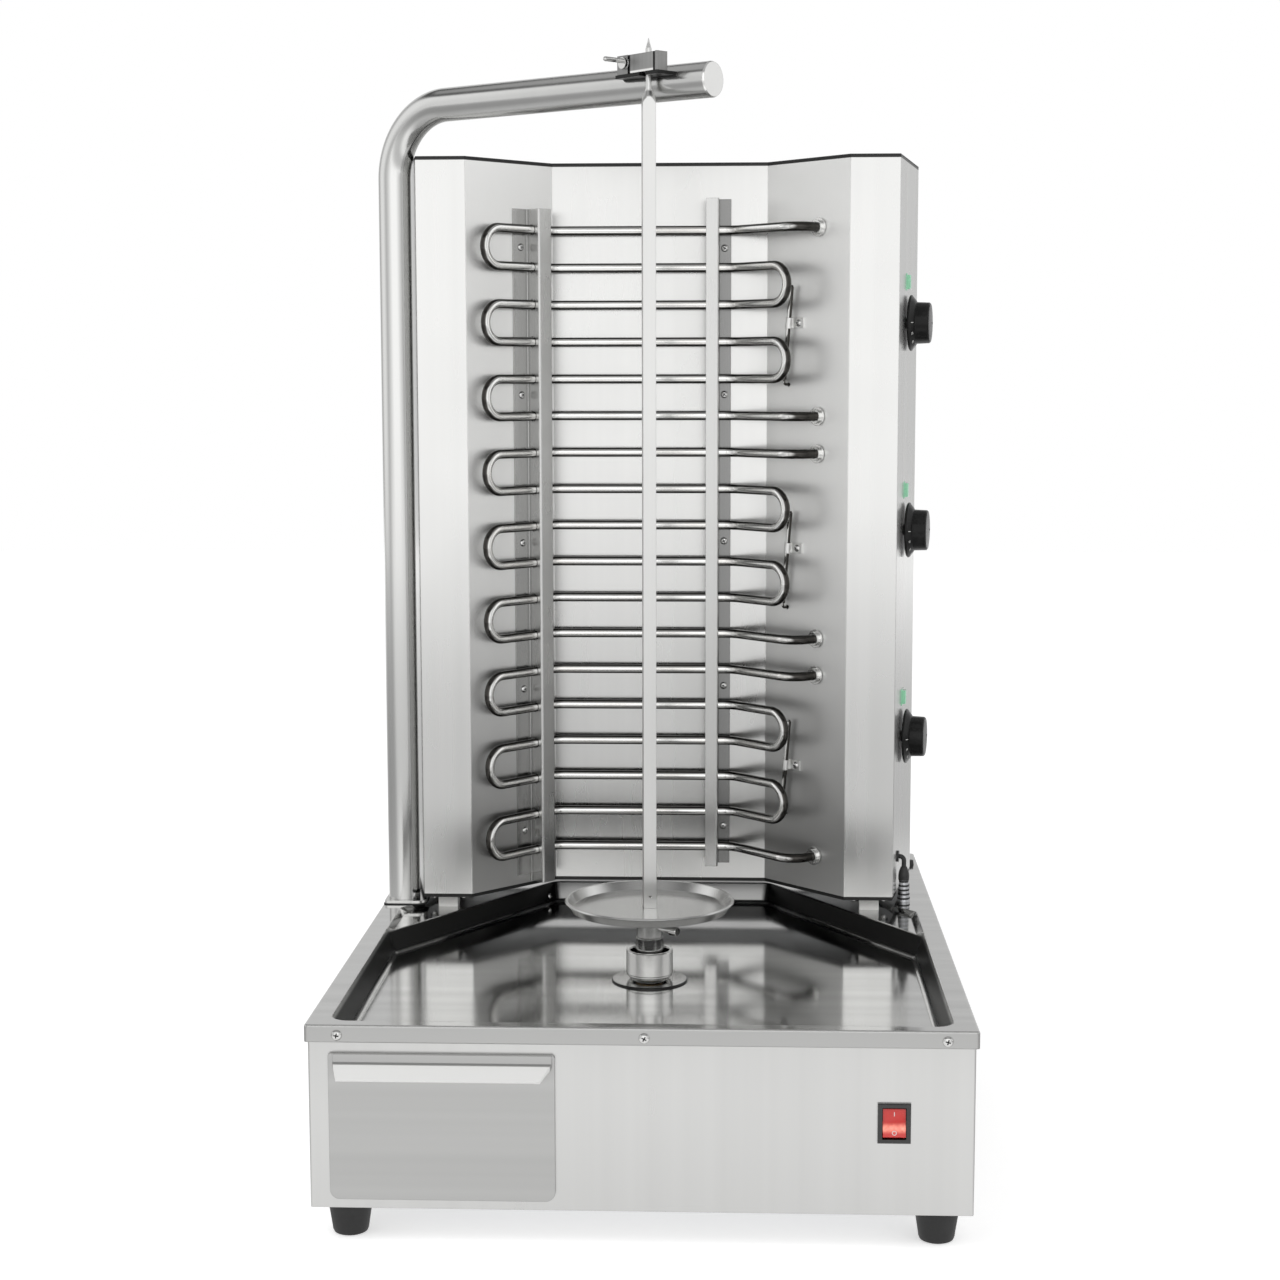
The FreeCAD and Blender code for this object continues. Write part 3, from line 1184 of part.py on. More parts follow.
def pilot_lights():
    """Rectangular lamp lenses above the knobs."""
    pieces = []
    for z in KNOB_HEIGHTS:
        flange = box(0, 1.0, -5.8, 5.8, -7.2, 7.2)
        lens = box(1.0, 3.8, -4.4, 4.4, -5.9, 5.9)
        lens = lens.makeFillet(0.8, [e for e in lens.Edges if all(v.X > 3.7 for v in e.Vertexes)])
        body = box(-15.0, 0, -4.2, 4.2, -5.5, 5.5)
        lamp = fuse([flange, lens, body])
        pieces.append(at(lamp, *side_wall_point(KNOB_Y, z + PILOT_RISE), -SIDE_ANGLE))
    return group(pieces)


# ---- Lead between the base and the cabinet ------------------------------------------------------
def cable_entry(outside):
    """Point on the lead's level run, measured outwards from the cabinet wall."""
    rise = Vector(CABLE_X, CABLE_Y, CABLE_ENTRY_Z)
    wall = side_wall_point(CABLE_Y, CABLE_ENTRY_Z)
    distance = (rise - wall).dot(SIDE_NORMAL)
    return rise - SIDE_NORMAL * (distance - outside)


def jumper_cable():
    """Fixed lead from the terminal block, up through the tray and into the cabinet wall."""
    inside = cable_entry(-21.0)
    end = Vector(inside.x, inside.y, KNOB_HEIGHTS[2] - THERMOSTAT_HALF)
    points = [Vector(CABLE_X, CABLE_Y, CABLE_START_Z), Vector(CABLE_X, CABLE_Y, CABLE_ENTRY_Z), inside, end]
    return swept_rod(rounded_path(points, [0, 3.6, 12.0, 0]), CABLE_RADIUS)


def rib_radius(k):
    return 5.45 - 0.3 * k


def cable_sleeve():
    """Turned steel sleeve round the lead where it leaves the tray, grooved for rubber rings."""
    profile = [(CABLE_RADIUS, RIM_TOP - 4.0), (3.0, RIM_TOP - 4.0), (3.0, RIM_TOP), (5.4, RIM_TOP)]
    for k in range(RIB_COUNT):
        z = RIB_START + RIB_PITCH * k
        land = rib_radius(k) - 0.3
        groove = rib_radius(k) - 1.6
        profile += [(land, z), (groove, z), (groove, z + RIB_HEIGHT), (land, z + RIB_HEIGHT)]
    profile += [(3.9, SLEEVE_TOP), (CABLE_RADIUS, SLEEVE_TOP)]
    return turned(profile, CABLE_X, CABLE_Y)


def cable_grips():
    """Black rubber: rings and hood on the sleeve, the wall grommet and a plug in the rim."""
    pieces = []
    for k in range(RIB_COUNT):
        foot = Vector(CABLE_X, CABLE_Y, RIB_START + RIB_PITCH * k)
        pieces.append(pipe(foot, foot + UP * RIB_HEIGHT, rib_radius(k), rib_radius(k) - 1.6))
    hood = [(CABLE_RADIUS, SLEEVE_TOP), (4.7, SLEEVE_TOP), (4.8, SLEEVE_TOP + 4), (4.2, SLEEVE_TOP + 7.5),
            (2.7, SLEEVE_TOP + 11.5), (CABLE_RADIUS, SLEEVE_TOP + 11.5)]
    pieces.append(turned(hood, CABLE_X, CABLE_Y))
    collar = rod(cable_entry(0.0), cable_entry(1.6), 4.9)
    neck = rod(cable_entry(-2.4), cable_entry(0.0), 4.0)
    pieces.append(fuse([collar, neck]).cut(rod(cable_entry(-9), cable_entry(9), CABLE_RADIUS)))
    plug = ledge_plug_place()
    pieces.append(fuse([rod(plug - UP * 4, plug, 2.0), Part.makeCone(2.6, 2.0, 4.2, plug, UP)]))
    return group(pieces)


# ---- Export -------------------------------------------------------------------------------------
SUB_PARTS = {
    "base_shell": base_shell, "base_bottom": base_bottom, "tray_pan": tray_pan, "tray_screws": tray_screws,
    "feet": feet, "foot_screws": foot_screws, "drawer_runners": drawer_runners, "drawer_box": drawer_box,
    "drawer_front": drawer_front, "motor_bracket": motor_bracket, "gearmotor": gearmotor,
    "gearmotor_screws": gearmotor_screws, "hub_flange": hub_flange, "hub_bush": hub_bush,
    "switch_body": switch_body, "switch_rocker": switch_rocker, "terminal_block": terminal_block,
    "mains_gland": mains_gland, "mast_gasket": mast_gasket, "mast_plate": mast_plate,
    "mast_screws": mast_screws, "mast_tube": mast_tube, "mast_cap": mast_cap, "top_yoke": top_yoke,
    "bearing_block": bearing_block, "lock_pin": lock_pin, "drive_shaft": drive_shaft,
    "drive_cup": drive_cup, "skewer_foot": skewer_foot, "skewer_bar": skewer_bar,
    "skewer_plate": skewer_plate, "plate_screw": plate_screw, "reflector": reflector,
    "cabinet_shell": cabinet_shell, "cabinet_gaskets": cabinet_gaskets, "top_cover": top_cover,
    "bottom_cover": bottom_cover, "cabinet_screws": cabinet_screws, "support_blocks": support_blocks,
    "support_bolts": support_bolts, "rail_left": rail_left, "rail_right": rail_right,
    "element_collars": element_collars, "reflector_screws": reflector_screws,
    "sensor_bulbs": sensor_bulbs, "sensor_clips": sensor_clips, "thermostats": thermostats,
    "pilot_lights": pilot_lights, "jumper_cable": jumper_cable, "cable_sleeve": cable_sleeve,
    "cable_grips": cable_grips,
}


def main():
    os.makedirs("parts", exist_ok=True)
    shapes = {name: make() for name, make in SUB_PARTS.items()}
    for number in range(ELEMENT_COUNT):
        shapes["element_%d" % (number + 1)] = element(number)
        shapes["knob_%d" % (number + 1)] = knob(number)
        shapes["spindle_%d" % (number + 1)] = spindle(number)
    for name, shape in shapes.items():
        shape.exportStep("parts/%s.step" % name)
        print(name, "solids", len(shape.Solids), "valid", shape.isValid(), "volume", round(shape.Volume))


main()
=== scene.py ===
"""Finish of the vertical skewer grill: materials, swept tubes, screws, printed marks and the studio."""
import json
import math

import bmesh
import bpy
from mathutils import Matrix, Vector
from mathutils.bvhtree import BVHTree

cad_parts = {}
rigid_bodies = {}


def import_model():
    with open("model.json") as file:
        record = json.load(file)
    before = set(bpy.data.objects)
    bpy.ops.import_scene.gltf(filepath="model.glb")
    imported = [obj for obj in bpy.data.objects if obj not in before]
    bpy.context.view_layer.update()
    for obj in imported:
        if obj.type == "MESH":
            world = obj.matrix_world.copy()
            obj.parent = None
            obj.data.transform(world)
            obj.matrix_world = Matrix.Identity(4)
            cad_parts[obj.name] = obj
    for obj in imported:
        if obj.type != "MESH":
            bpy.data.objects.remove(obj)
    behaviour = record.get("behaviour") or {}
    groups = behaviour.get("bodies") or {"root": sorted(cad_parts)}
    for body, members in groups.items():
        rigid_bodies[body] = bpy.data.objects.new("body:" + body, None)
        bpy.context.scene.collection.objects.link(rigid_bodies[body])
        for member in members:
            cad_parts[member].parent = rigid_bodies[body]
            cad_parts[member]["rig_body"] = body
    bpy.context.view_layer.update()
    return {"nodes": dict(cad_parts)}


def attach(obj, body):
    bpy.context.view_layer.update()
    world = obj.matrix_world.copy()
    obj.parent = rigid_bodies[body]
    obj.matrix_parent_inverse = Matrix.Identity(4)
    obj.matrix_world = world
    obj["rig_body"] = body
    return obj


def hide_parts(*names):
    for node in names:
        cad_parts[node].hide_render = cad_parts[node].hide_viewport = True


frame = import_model()

MM = 0.001
UP = Vector((0, 0, 1))
RIGHT = Vector((1, 0, 0))
BACK = Vector((0, 1, 0))

# ---- Places taken from the solids, in millimetres ----------------------------------------------
SKEWER_X, SKEWER_Y = -0.8, -88.0
MAST_X, MAST_Y, MAST_FOOT = -220.8, 84.0, 166.9
ARM_HEIGHT, ARM_REACH, ARM_HEADING = 838.5, 322.5, -33.8
MAST_RADIUS, MAST_BEND = 13.5, 58.0
BACK_WALL_Y, BACK_WALL_HALF = 140.0, 92.95
CABINET_FRONT, WING_FRONT_HALF = 69.0, 159.85
CABINET_FRONT_HALF, CABINET_BACK_HALF, CABINET_BACK = 201.35, 226.0, 192.6
CABINET_TOP = 797.6
YOKE_HEADING, BLOCK_LEFT, BLOCK_RIGHT = -46.0, -15.4, 14.1
ROW_TOP, ROW_PITCH, ROWS_PER_ELEMENT, ELEMENT_COUNT, ROW_Y = 741.0, 31.62, 6, 3, 132.0
ELEMENT_LEFT_BEND, ELEMENT_RIGHT_BEND = -92.4, 64.0
LEFT_LEG_ANGLE, RIGHT_LEG_ANGLE = 50.0, 47.2
LEFT_LEG, RIGHT_LEG, END_LEG, END_DROP = 80.1, 65.1, 76.5, 26.6
ELEMENT_RADIUS = 4.0
KNOB_HEIGHTS = (661.5, 485.0, 305.4)
KNOB_BODIES = ("knob_upper", "knob_middle", "knob_lower")
KNOB_Y = 118.0
RAIL_SCREW_HEIGHTS = (726.3, 601.0, 473.7, 346.0, 220.5)
CLIP_HEIGHTS = (661.7, 469.6, 280.1)
SHEET = 1.2
TRAY_FRONT, TRAY_SCREW_Z = 292.5, 156.2
TRAY_INSIDE_X, TRAY_INSIDE_Y, TRAY_ROLL, TRAY_BACK_WALL = (-228.0, 228.0), (-287.0, 183.5), 159.0, 100.0
CABINET_LOWER_SEAM_SHADOW, CABINET_UPPER_SEAM_SHADOW = 173.1, 795.7
RAIL_STRIP, HUB_FLANGE_RADIUS = 3.0, 29.1
BLOCK_FOOT, YOKE_FLOOR = 846.1, 844.7
LIP_FACE, LIP_FOOT = -295.7, 120.0
LENS_FRONT = 114.2
SWITCH_X, SWITCH_Z = 178.4, 96.5
ROCKER_PIVOT_Y = -287.5


def mm(x, y, z):
    return Vector((x, y, z)) * MM


def heading(angle):
    return Vector((math.cos(math.radians(angle)), math.sin(math.radians(angle)), 0))


WING_ANGLE = math.degrees(math.atan2(BACK_WALL_Y - CABINET_FRONT, WING_FRONT_HALF - BACK_WALL_HALF))
SIDE_ANGLE = math.degrees(math.atan2(CABINET_BACK_HALF - CABINET_FRONT_HALF, CABINET_BACK - CABINET_FRONT))
WING_NORMAL_LEFT = heading(WING_ANGLE - 90)
WING_NORMAL_RIGHT = heading(270 - WING_ANGLE)
SIDE_NORMAL = heading(-SIDE_ANGLE)


def left_wing_point(back, height, proud=0.0):
    """A point on the left wing, by how far back it is."""
    across = BACK_WALL_HALF + (BACK_WALL_Y - back) / math.tan(math.radians(WING_ANGLE))
    return Vector((-across, back, height)) + WING_NORMAL_LEFT * proud


def right_wing_point(back, height, proud=0.0):
    point = left_wing_point(back, height)
    return Vector((-point.x, point.y, height)) + WING_NORMAL_RIGHT * proud


# ---- Camera -------------------------------------------------------------------------------------
CAMERA_PLACE = (64.8, -1809.5, 617.6)
CAMERA_PITCH, CAMERA_YAW, CAMERA_ROLL = 6.769, -2.422, -0.097
CAMERA_LENS = 62.71


def place_camera():
    pitch, yaw, roll = (math.radians(a) for a in (CAMERA_PITCH, CAMERA_YAW, CAMERA_ROLL))
    forward = Vector((math.sin(yaw) * math.cos(pitch), math.cos(yaw) * math.cos(pitch), -math.sin(pitch)))
    level_right = Vector((math.cos(yaw), -math.sin(yaw), 0))
    level_up = level_right.cross(forward)
    right = level_right * math.cos(roll) + level_up * math.sin(roll)
    up = level_up * math.cos(roll) - level_right * math.sin(roll)
    camera = bpy.data.objects.new("camera", bpy.data.cameras.new("camera"))
    camera.data.lens = CAMERA_LENS
    camera.data.sensor_width = 36.0
    turn = Matrix((right, up, -forward)).transposed().to_4x4()
    camera.matrix_world = Matrix.Translation(mm(*CAMERA_PLACE)) @ turn
    bpy.context.scene.collection.objects.link(camera)
    bpy.context.scene.camera = camera


# ---- Node helpers -------------------------------------------------------------------------------
def feed(tree, node, inputs):
    """Sets a node's inputs, named or numbered as i0, i1 ..., to values or other nodes' sockets."""
    for name, value in inputs.items():
        key = int(name[1:]) if name[0] == "i" and name[1:].isdigit() else name.replace("_", " ")
        if isinstance(value, bpy.types.NodeSocket):
            tree.links.new(value, node.inputs[key])
        else:
            node.inputs[key].default_value = value
    return node


def add(tree, kind, settings=None, **inputs):
    """A node with its settings and inputs."""
    node = tree.nodes.new(kind)
    for name, value in (settings or {}).items():
        setattr(node, name, value)
    return feed(tree, node, inputs)


def maths(tree, operation, a, b=0.0, clamp=False):
    return add(tree, "ShaderNodeMath", {"operation": operation, "use_clamp": clamp}, i0=a, i1=b).outputs[0]


def ranged(tree, value, low, high, to_low, to_high, smooth=False):
    kind = "SMOOTHSTEP" if smooth else "LINEAR"
    return add(tree, "ShaderNodeMapRange", {"interpolation_type": kind}, Value=value, From_Min=low,
               From_Max=high, To_Min=to_low, To_Max=to_high).outputs[0]


def rising(tree, value, place, width, top=1.0):
    """Zero below a place and top above it; place and width are in millimetres."""
    return ranged(tree, value, place * MM, (place + width) * MM, 0.0, top)


def falling(tree, value, place, width, top=1.0):
    return ranged(tree, value, place * MM, (place + width) * MM, top, 0.0)


def mixed(tree, factor, a, b):
    return add(tree, "ShaderNodeMix", {"data_type": "RGBA"}, i0=factor, i6=a, i7=b).outputs[2]


def vectors(tree, operation, a, b=(0, 0, 0)):
    return add(tree, "ShaderNodeVectorMath", {"operation": operation}, i0=a, i1=b)


def parts_of(tree, vector):
    return add(tree, "ShaderNodeSeparateXYZ", i0=vector).outputs


def normal_of(tree):
    return add(tree, "ShaderNodeNewGeometry").outputs["Normal"]


def graded(tree, value, stops, top):
    """Level read off a list of (place, level) stops, with top the highest level in it."""
    ramp = add(tree, "ShaderNodeValToRGB", Fac=value)
    elements = ramp.color_ramp.elements
    elements[0].position, elements[1].position = stops[0][0], stops[-1][0]
    for place, _ in stops[1:-1]:
        elements.new(place)
    for element, (place, level) in zip(elements, stops):
        element.position = place
        element.color = (level / top, level / top, level / top, 1.0)
    return maths(tree, "MULTIPLY", ramp.outputs[0], top)


def within(tree, value, low, high, soft):
    """One between two limits and zero outside them, with soft borders."""
    rise = ranged(tree, value, low - soft, low + soft, 0.0, 1.0)
    fall = ranged(tree, value, high - soft, high + soft, 1.0, 0.0)
    return maths(tree, "MULTIPLY", rise, fall)


def grey(level, warm=0.985):
    return (level, level, level * warm, 1.0)


def node_group(name, tree_kind, inputs, outputs):
    """An empty node group with its sockets, given as (name, kind, start value)."""
    tree = bpy.data.node_groups.new(name, tree_kind + "NodeTree")
    for label, kind, value in inputs:
        socket = tree.interface.new_socket(label, in_out="INPUT", socket_type="NodeSocket" + kind)
        if value is not None:
            socket.default_value = value
    for label, kind in outputs:
        tree.interface.new_socket(label, in_out="OUTPUT", socket_type="NodeSocket" + kind)
    return tree, tree.nodes.new("NodeGroupInput"), tree.nodes.new("NodeGroupOutput")


def placed_group(tree, group, **inputs):
    return feed(tree, add(tree, "ShaderNodeGroup", {"node_tree": group}), inputs)


# ---- Shared effects -----------------------------------------------------------------------------
def make_sheet_grain():
    """Fine brushed lines: dense in the Stretch vector's large directions, long in its small ones."""
    tree, start, end = node_group(
        "sheet_grain", "Shader",
        [("Vector", "Vector", None), ("Stretch", "Vector", (1, 1, 1)), ("Contrast", "Float", 1.0)],
        [("Lines", "Float"), ("Streaks", "Float")])
    drawn = vectors(tree, "MULTIPLY", start.outputs["Vector"], start.outputs["Stretch"]).outputs[0]
    fine = add(tree, "ShaderNodeTexNoise", Vector=drawn, Scale=1100.0, Detail=1.0, Roughness=0.5)
    broad = add(tree, "ShaderNodeTexNoise", Vector=drawn, Scale=55.0, Detail=2.0, Roughness=0.5)
    lines = maths(tree, "MULTIPLY", fine.outputs[0], start.outputs["Contrast"])
    tree.links.new(lines, end.inputs["Lines"])
    tree.links.new(ranged(tree, broad.outputs[0], 0.3, 0.7, 0.0, 1.0), end.inputs["Streaks"])
    return tree


def make_handling_marks():
    """Faint cloudy wipe marks that change the gloss, never the form."""
    tree, start, end = node_group(
        "handling_marks", "Shader",
        [("Vector", "Vector", None), ("Size", "Float", 6.0), ("Amount", "Float", 0.05)],
        [("Gloss change", "Float"), ("Cloud", "Float")])
    cloud = add(tree, "ShaderNodeTexNoise", Vector=start.outputs["Vector"], Scale=start.outputs["Size"],
                Detail=2.0, Roughness=0.5)
    wiped = ranged(tree, cloud.outputs[0], 0.35, 0.7, -1.0, 1.0, smooth=True)
    tree.links.new(maths(tree, "MULTIPLY", wiped, start.outputs["Amount"]), end.inputs["Gloss change"])
    tree.links.new(cloud.outputs[0], end.inputs["Cloud"])
    return tree


def make_moulded_skin():
    """Spark-eroded pebble of moulded plastic and rubber."""
    tree, start, end = node_group(
        "moulded_skin", "Shader", [("Vector", "Vector", None), ("Size", "Float", 2500.0)],
        [("Height", "Float"), ("Wear", "Float")])
    pebble = add(tree, "ShaderNodeTexNoise", Vector=start.outputs["Vector"], Scale=start.outputs["Size"],
                 Detail=2.0, Roughness=0.5)
    wear = add(tree, "ShaderNodeTexNoise", Vector=start.outputs["Vector"], Scale=70.0, Detail=6.0,
               Roughness=0.7)
    tree.links.new(pebble.outputs[0], end.inputs["Height"])
    tree.links.new(ranged(tree, wear.outputs[0], 0.45, 0.75, 0.0, 1.0), end.inputs["Wear"])
    return tree


def make_soft_edge():
    """Normal that rolls over sheet edges, so that every fold catches a line of light."""
    tree, start, end = node_group(
        "soft_edge", "Shader", [("Radius", "Float", 0.0006)], [("Normal", "Vector")])
    bevel = add(tree, "ShaderNodeBevel", {"samples": 4}, Radius=start.outputs["Radius"])
    tree.links.new(bevel.outputs[0], end.inputs["Normal"])
    return tree


SHEET_GRAIN = make_sheet_grain()
HANDLING_MARKS = make_handling_marks()
MOULDED_SKIN = make_moulded_skin()
SOFT_EDGE = make_soft_edge()


# ---- Materials ----------------------------------------------------------------------------------
UPRIGHT, LEVEL, ROUND = (1.0, 1.0, 0.0012), (0.0012, 1.0, 1.0), (0.5, 0.5, 0.5)
TURNED_ROUND = (0.05, 0.05, 1.0)
LEVEL_FACE_TANGENT = (0.002, 0.001, 0)
BLACK = (0, 0, 0, 1)
# HEAT_TINT is the heater's own browning; the second colour is painted shade for the heater sides turned away
# from the spit
HEAT_TINT, PAINTED_SHADE_SIDE = (0.74, 0.71, 0.67, 1.0), (0.055, 0.052, 0.048, 1.0)
LENS_PAINTED_HIGHLIGHT, LENS_DEEP, LENS_RIPPLE = (0.42, 0.85, 0.58, 1), (0.004, 0.13, 0.05, 1), (0.02, 0.4, 0.17, 1)


def new_material(name):
    material = bpy.data.materials.new(name)
    material.use_nodes = True
    tree = material.node_tree
    shader = tree.nodes["Principled BSDF"]
    coordinates = add(tree, "ShaderNodeTexCoord").outputs["Object"]
    return material, tree, shader, coordinates


def relief(tree, shader, height, depth, edge=None):
    """Fine relief on the shader, laid over rounded edges where an edge radius is given."""
    bump = add(tree, "ShaderNodeBump", Height=height, Distance=depth, Strength=1.0)
    if edge is not None:
        tree.links.new(placed_group(tree, SOFT_EDGE, Radius=edge).outputs[0], bump.inputs["Normal"])
    tree.links.new(bump.outputs[0], shader.inputs["Normal"])


def steel(name, light, dark, gloss, stretch, depth=0.0000006, contrast=1.0, anisotropic=0.0, edge=0.0006,
          marks=0.02, streak_gloss=0.06, places=None):
    """Stainless steel with drawn grain, broad mill streaks, wipe marks and rounded fold lines.

    places gives a darkening, a paling and a roughening that belong to some parts of the piece only; in most
    finishes the darkening and paling are painted shade and painted highlights.
    """
    material, tree, shader, coordinates = new_material(name)
    grain = placed_group(tree, SHEET_GRAIN, Vector=coordinates, Stretch=stretch, Contrast=contrast)
    wiped = placed_group(tree, HANDLING_MARKS, Vector=coordinates, Size=7.0, Amount=marks)
    fine = maths(tree, "MULTIPLY", grain.outputs["Lines"], 0.35)
    broad = maths(tree, "MULTIPLY", grain.outputs["Streaks"], 0.5)
    tone = mixed(tree, maths(tree, "ADD", fine, broad, clamp=True), dark, light)
    streaky = ranged(tree, grain.outputs["Streaks"], 0.0, 1.0, gloss - streak_gloss / 2,
                     gloss + streak_gloss / 2)
    if places:
        # darker goes to near-black and paler to near-white: painted shade and painted highlights, and the
        # hub's sealant line
        darker, paler, rougher = places(tree, coordinates)
        tone = mixed(tree, darker, mixed(tree, paler, tone, grey(0.97)), grey(0.02))
        streaky = maths(tree, "ADD", streaky, rougher)
    rough = maths(tree, "ADD", streaky, wiped.outputs["Gloss change"], clamp=True)
    feed(tree, shader, {"Base Color": tone, "Roughness": rough, "Metallic": 1.0})
    relief(tree, shader, grain.outputs["Lines"], depth, edge)
    if anisotropic:
        sideways = vectors(tree, "CROSS_PRODUCT", (0, 0, 1), normal_of(tree)).outputs[0]
        tangent = vectors(tree, "ADD", sideways, LEVEL_FACE_TANGENT).outputs[0]
        feed(tree, shader, {"Anisotropic": anisotropic, "Tangent": tangent})
    return material


def moulded(name, colour, gloss, pebble=0.00003, size=2500.0, coat=0.0, specular=0.5):
    """Moulded plastic or rubber with a fine pebble and rubbed, slightly paler patches."""
    material, tree, shader, coordinates = new_material(name)
    skin = placed_group(tree, MOULDED_SKIN, Vector=coordinates, Size=size)
    worn = tuple(c * 1.35 + 0.012 for c in colour[:3]) + (1.0,)
    feed(tree, shader, {"Base Color": mixed(tree, skin.outputs["Wear"], colour, worn),
                        "Roughness": ranged(tree, skin.outputs["Wear"], 0.0, 1.0, gloss, gloss + 0.12),
                        "Specular IOR Level": specular})
    relief(tree, shader, skin.outputs["Height"], pebble, 0.0005)
    if coat:
        feed(tree, shader, {"Coat Weight": coat, "Coat Roughness": 0.06})
    return material


def heater_steel():
    """Satin sheath tube, browned in patches by heat; painted shade turns the sides away from the spit
    near-black, so only the front stays bright.
    """
    material, tree, shader, coordinates = new_material("heater_sheath")
    drawn = placed_group(tree, SHEET_GRAIN, Vector=coordinates, Stretch=(0.12, 0.5, 1.0), Contrast=1.0)
    wiped = placed_group(tree, HANDLING_MARKS, Vector=coordinates, Size=26.0, Amount=0.05)
    tint = ranged(tree, wiped.outputs["Cloud"], 0.4, 0.75, 0.0, 0.55)
    tone = mixed(tree, tint, grey(0.84), HEAT_TINT)
    x = parts_of(tree, coordinates)[0]
    bend = {"data_type": "VECTOR"}
    spit_side = add(tree, "ShaderNodeMix", bend, i0=falling(tree, x, ELEMENT_LEFT_BEND - 4, 12), i4=-BACK,
                    i5=WING_NORMAL_LEFT).outputs[1]
    spit_side = add(tree, "ShaderNodeMix", bend, i0=rising(tree, x, ELEMENT_RIGHT_BEND - 8, 12),
                    i4=spit_side, i5=WING_NORMAL_RIGHT).outputs[1]
    facing = vectors(tree, "DOT_PRODUCT", normal_of(tree), spit_side).outputs["Value"]
    # painted shade on the sides turned away from the spit
    shaded_away_side = ranged(tree, facing, 0.66, 0.93, 1.0, 0.0, smooth=True)
    feed(tree, shader, {"Base Color": mixed(tree, shaded_away_side, tone, PAINTED_SHADE_SIDE), "Metallic": 1.0,
                        "Roughness": maths(tree, "ADD", 0.17, wiped.outputs["Gloss change"])})
    relief(tree, shader, drawn.outputs["Lines"], 0.00001)
    return material


def painted_wing_shade_and_seam_shadows(tree, coordinates):
    """Painted shade and light: the slanted wings are duller, painted darker towards the tray and paler as a
    painted reflection; black lines of painted shadow run along the top and bottom seams.
    """
    height = parts_of(tree, coordinates)[2]
    facing = parts_of(tree, normal_of(tree))
    wing = within(tree, maths(tree, "ABSOLUTE", facing[0]), 0.5, 0.85, 0.05)
    # painted shade on the wings, darker towards the tray
    darker = maths(tree, "MULTIPLY", wing, ranged(tree, height, 0.2, 0.5, 0.42, 0.0, smooth=True))
    upright = ranged(tree, facing[2], 0.5, 0.6, 1.0, 0.0)
    # painted shadow: black lines along the top and bottom seams
    seam_shadow = maths(tree, "MULTIPLY", rising(tree, height, CABINET_UPPER_SEAM_SHADOW, 0.3, 0.97), upright)
    darker = maths(tree, "MAXIMUM", darker, seam_shadow)
    darker = maths(tree, "MAXIMUM", darker, falling(tree, height, CABINET_LOWER_SEAM_SHADOW, 0.3, 0.97))
    # the paler wings are a painted reflection; the added roughness is real
    return darker, maths(tree, "MULTIPLY", wing, 0.8), maths(tree, "MULTIPLY", wing, 0.16)


def painted_rail_strip_shade(tree, coordinates):
    """Painted shade on the rails' mounting strips, darker on the right rail than the left; their raised lips
    stay bright.
    """
    x, y = parts_of(tree, coordinates)[:2]
    off_back = maths(tree, "SUBTRACT", BACK_WALL_Y * MM, y)
    wing = left_wing_point(BACK_WALL_Y, 0.0) * MM
    along = vectors(tree, "DOT_PRODUCT", coordinates, WING_NORMAL_LEFT).outputs["Value"]
    off_wing = maths(tree, "SUBTRACT", along, wing.dot(WING_NORMAL_LEFT))
    right = rising(tree, x, -1.0, 2.0)
    strip = falling(tree, mixed(tree, right, off_wing, off_back), RAIL_STRIP, 1.5)
    # painted shade on the strips: 0.25 on the left rail, 0.6 on the right
    return maths(tree, "MULTIPLY", strip, ranged(tree, right, 0.0, 1.0, 0.25, 0.6)), 0.0, 0.0


def hub_seam(tree, coordinates):
    """A dark line of sealant round the hub's flange."""
    away = vectors(tree, "SUBTRACT", coordinates, mm(SKEWER_X, SKEWER_Y, 0)).outputs[0]
    level = vectors(tree, "MULTIPLY", away, (1, 1, 0)).outputs[0]
    length = vectors(tree, "LENGTH", level).outputs["Value"]
    return rising(tree, length, HUB_FLANGE_RADIUS, 0.3, 0.95), 0.0, 0.0


def painted_block_shade_and_highlight(tree, coordinates):
    """Painted shade on the bearing block beside the yoke's ears, in the gaps between the parts, and a painted
    highlight along its lower edge.
    """
    away = vectors(tree, "SUBTRACT", coordinates, mm(SKEWER_X, SKEWER_Y, 0)).outputs[0]
    along = vectors(tree, "DOT_PRODUCT", away, heading(YOKE_HEADING)).outputs["Value"]
    unshaded_middle = within(tree, along, (BLOCK_LEFT + 1.8) * MM, (BLOCK_RIGHT - 1.8) * MM, 0.3 * MM)
    height = parts_of(tree, coordinates)[2]
    # painted shade outside the middle, painted highlight at the foot
    return maths(tree, "SUBTRACT", 1.0, unshaded_middle), falling(tree, height, BLOCK_FOOT, 0.8, 0.8), 0.0


def painted_yoke_underside_shade(tree, coordinates):
    """Painted shade, near-black, under the yoke and on the front edge of its floor."""
    low = falling(tree, parts_of(tree, coordinates)[2], YOKE_FLOOR, 0.4, 0.96)
    under = ranged(tree, parts_of(tree, normal_of(tree))[2], -0.7, -0.4, 0.96, 0.0)
    return maths(tree, "MAXIMUM", low, under), 0.0, 0.05


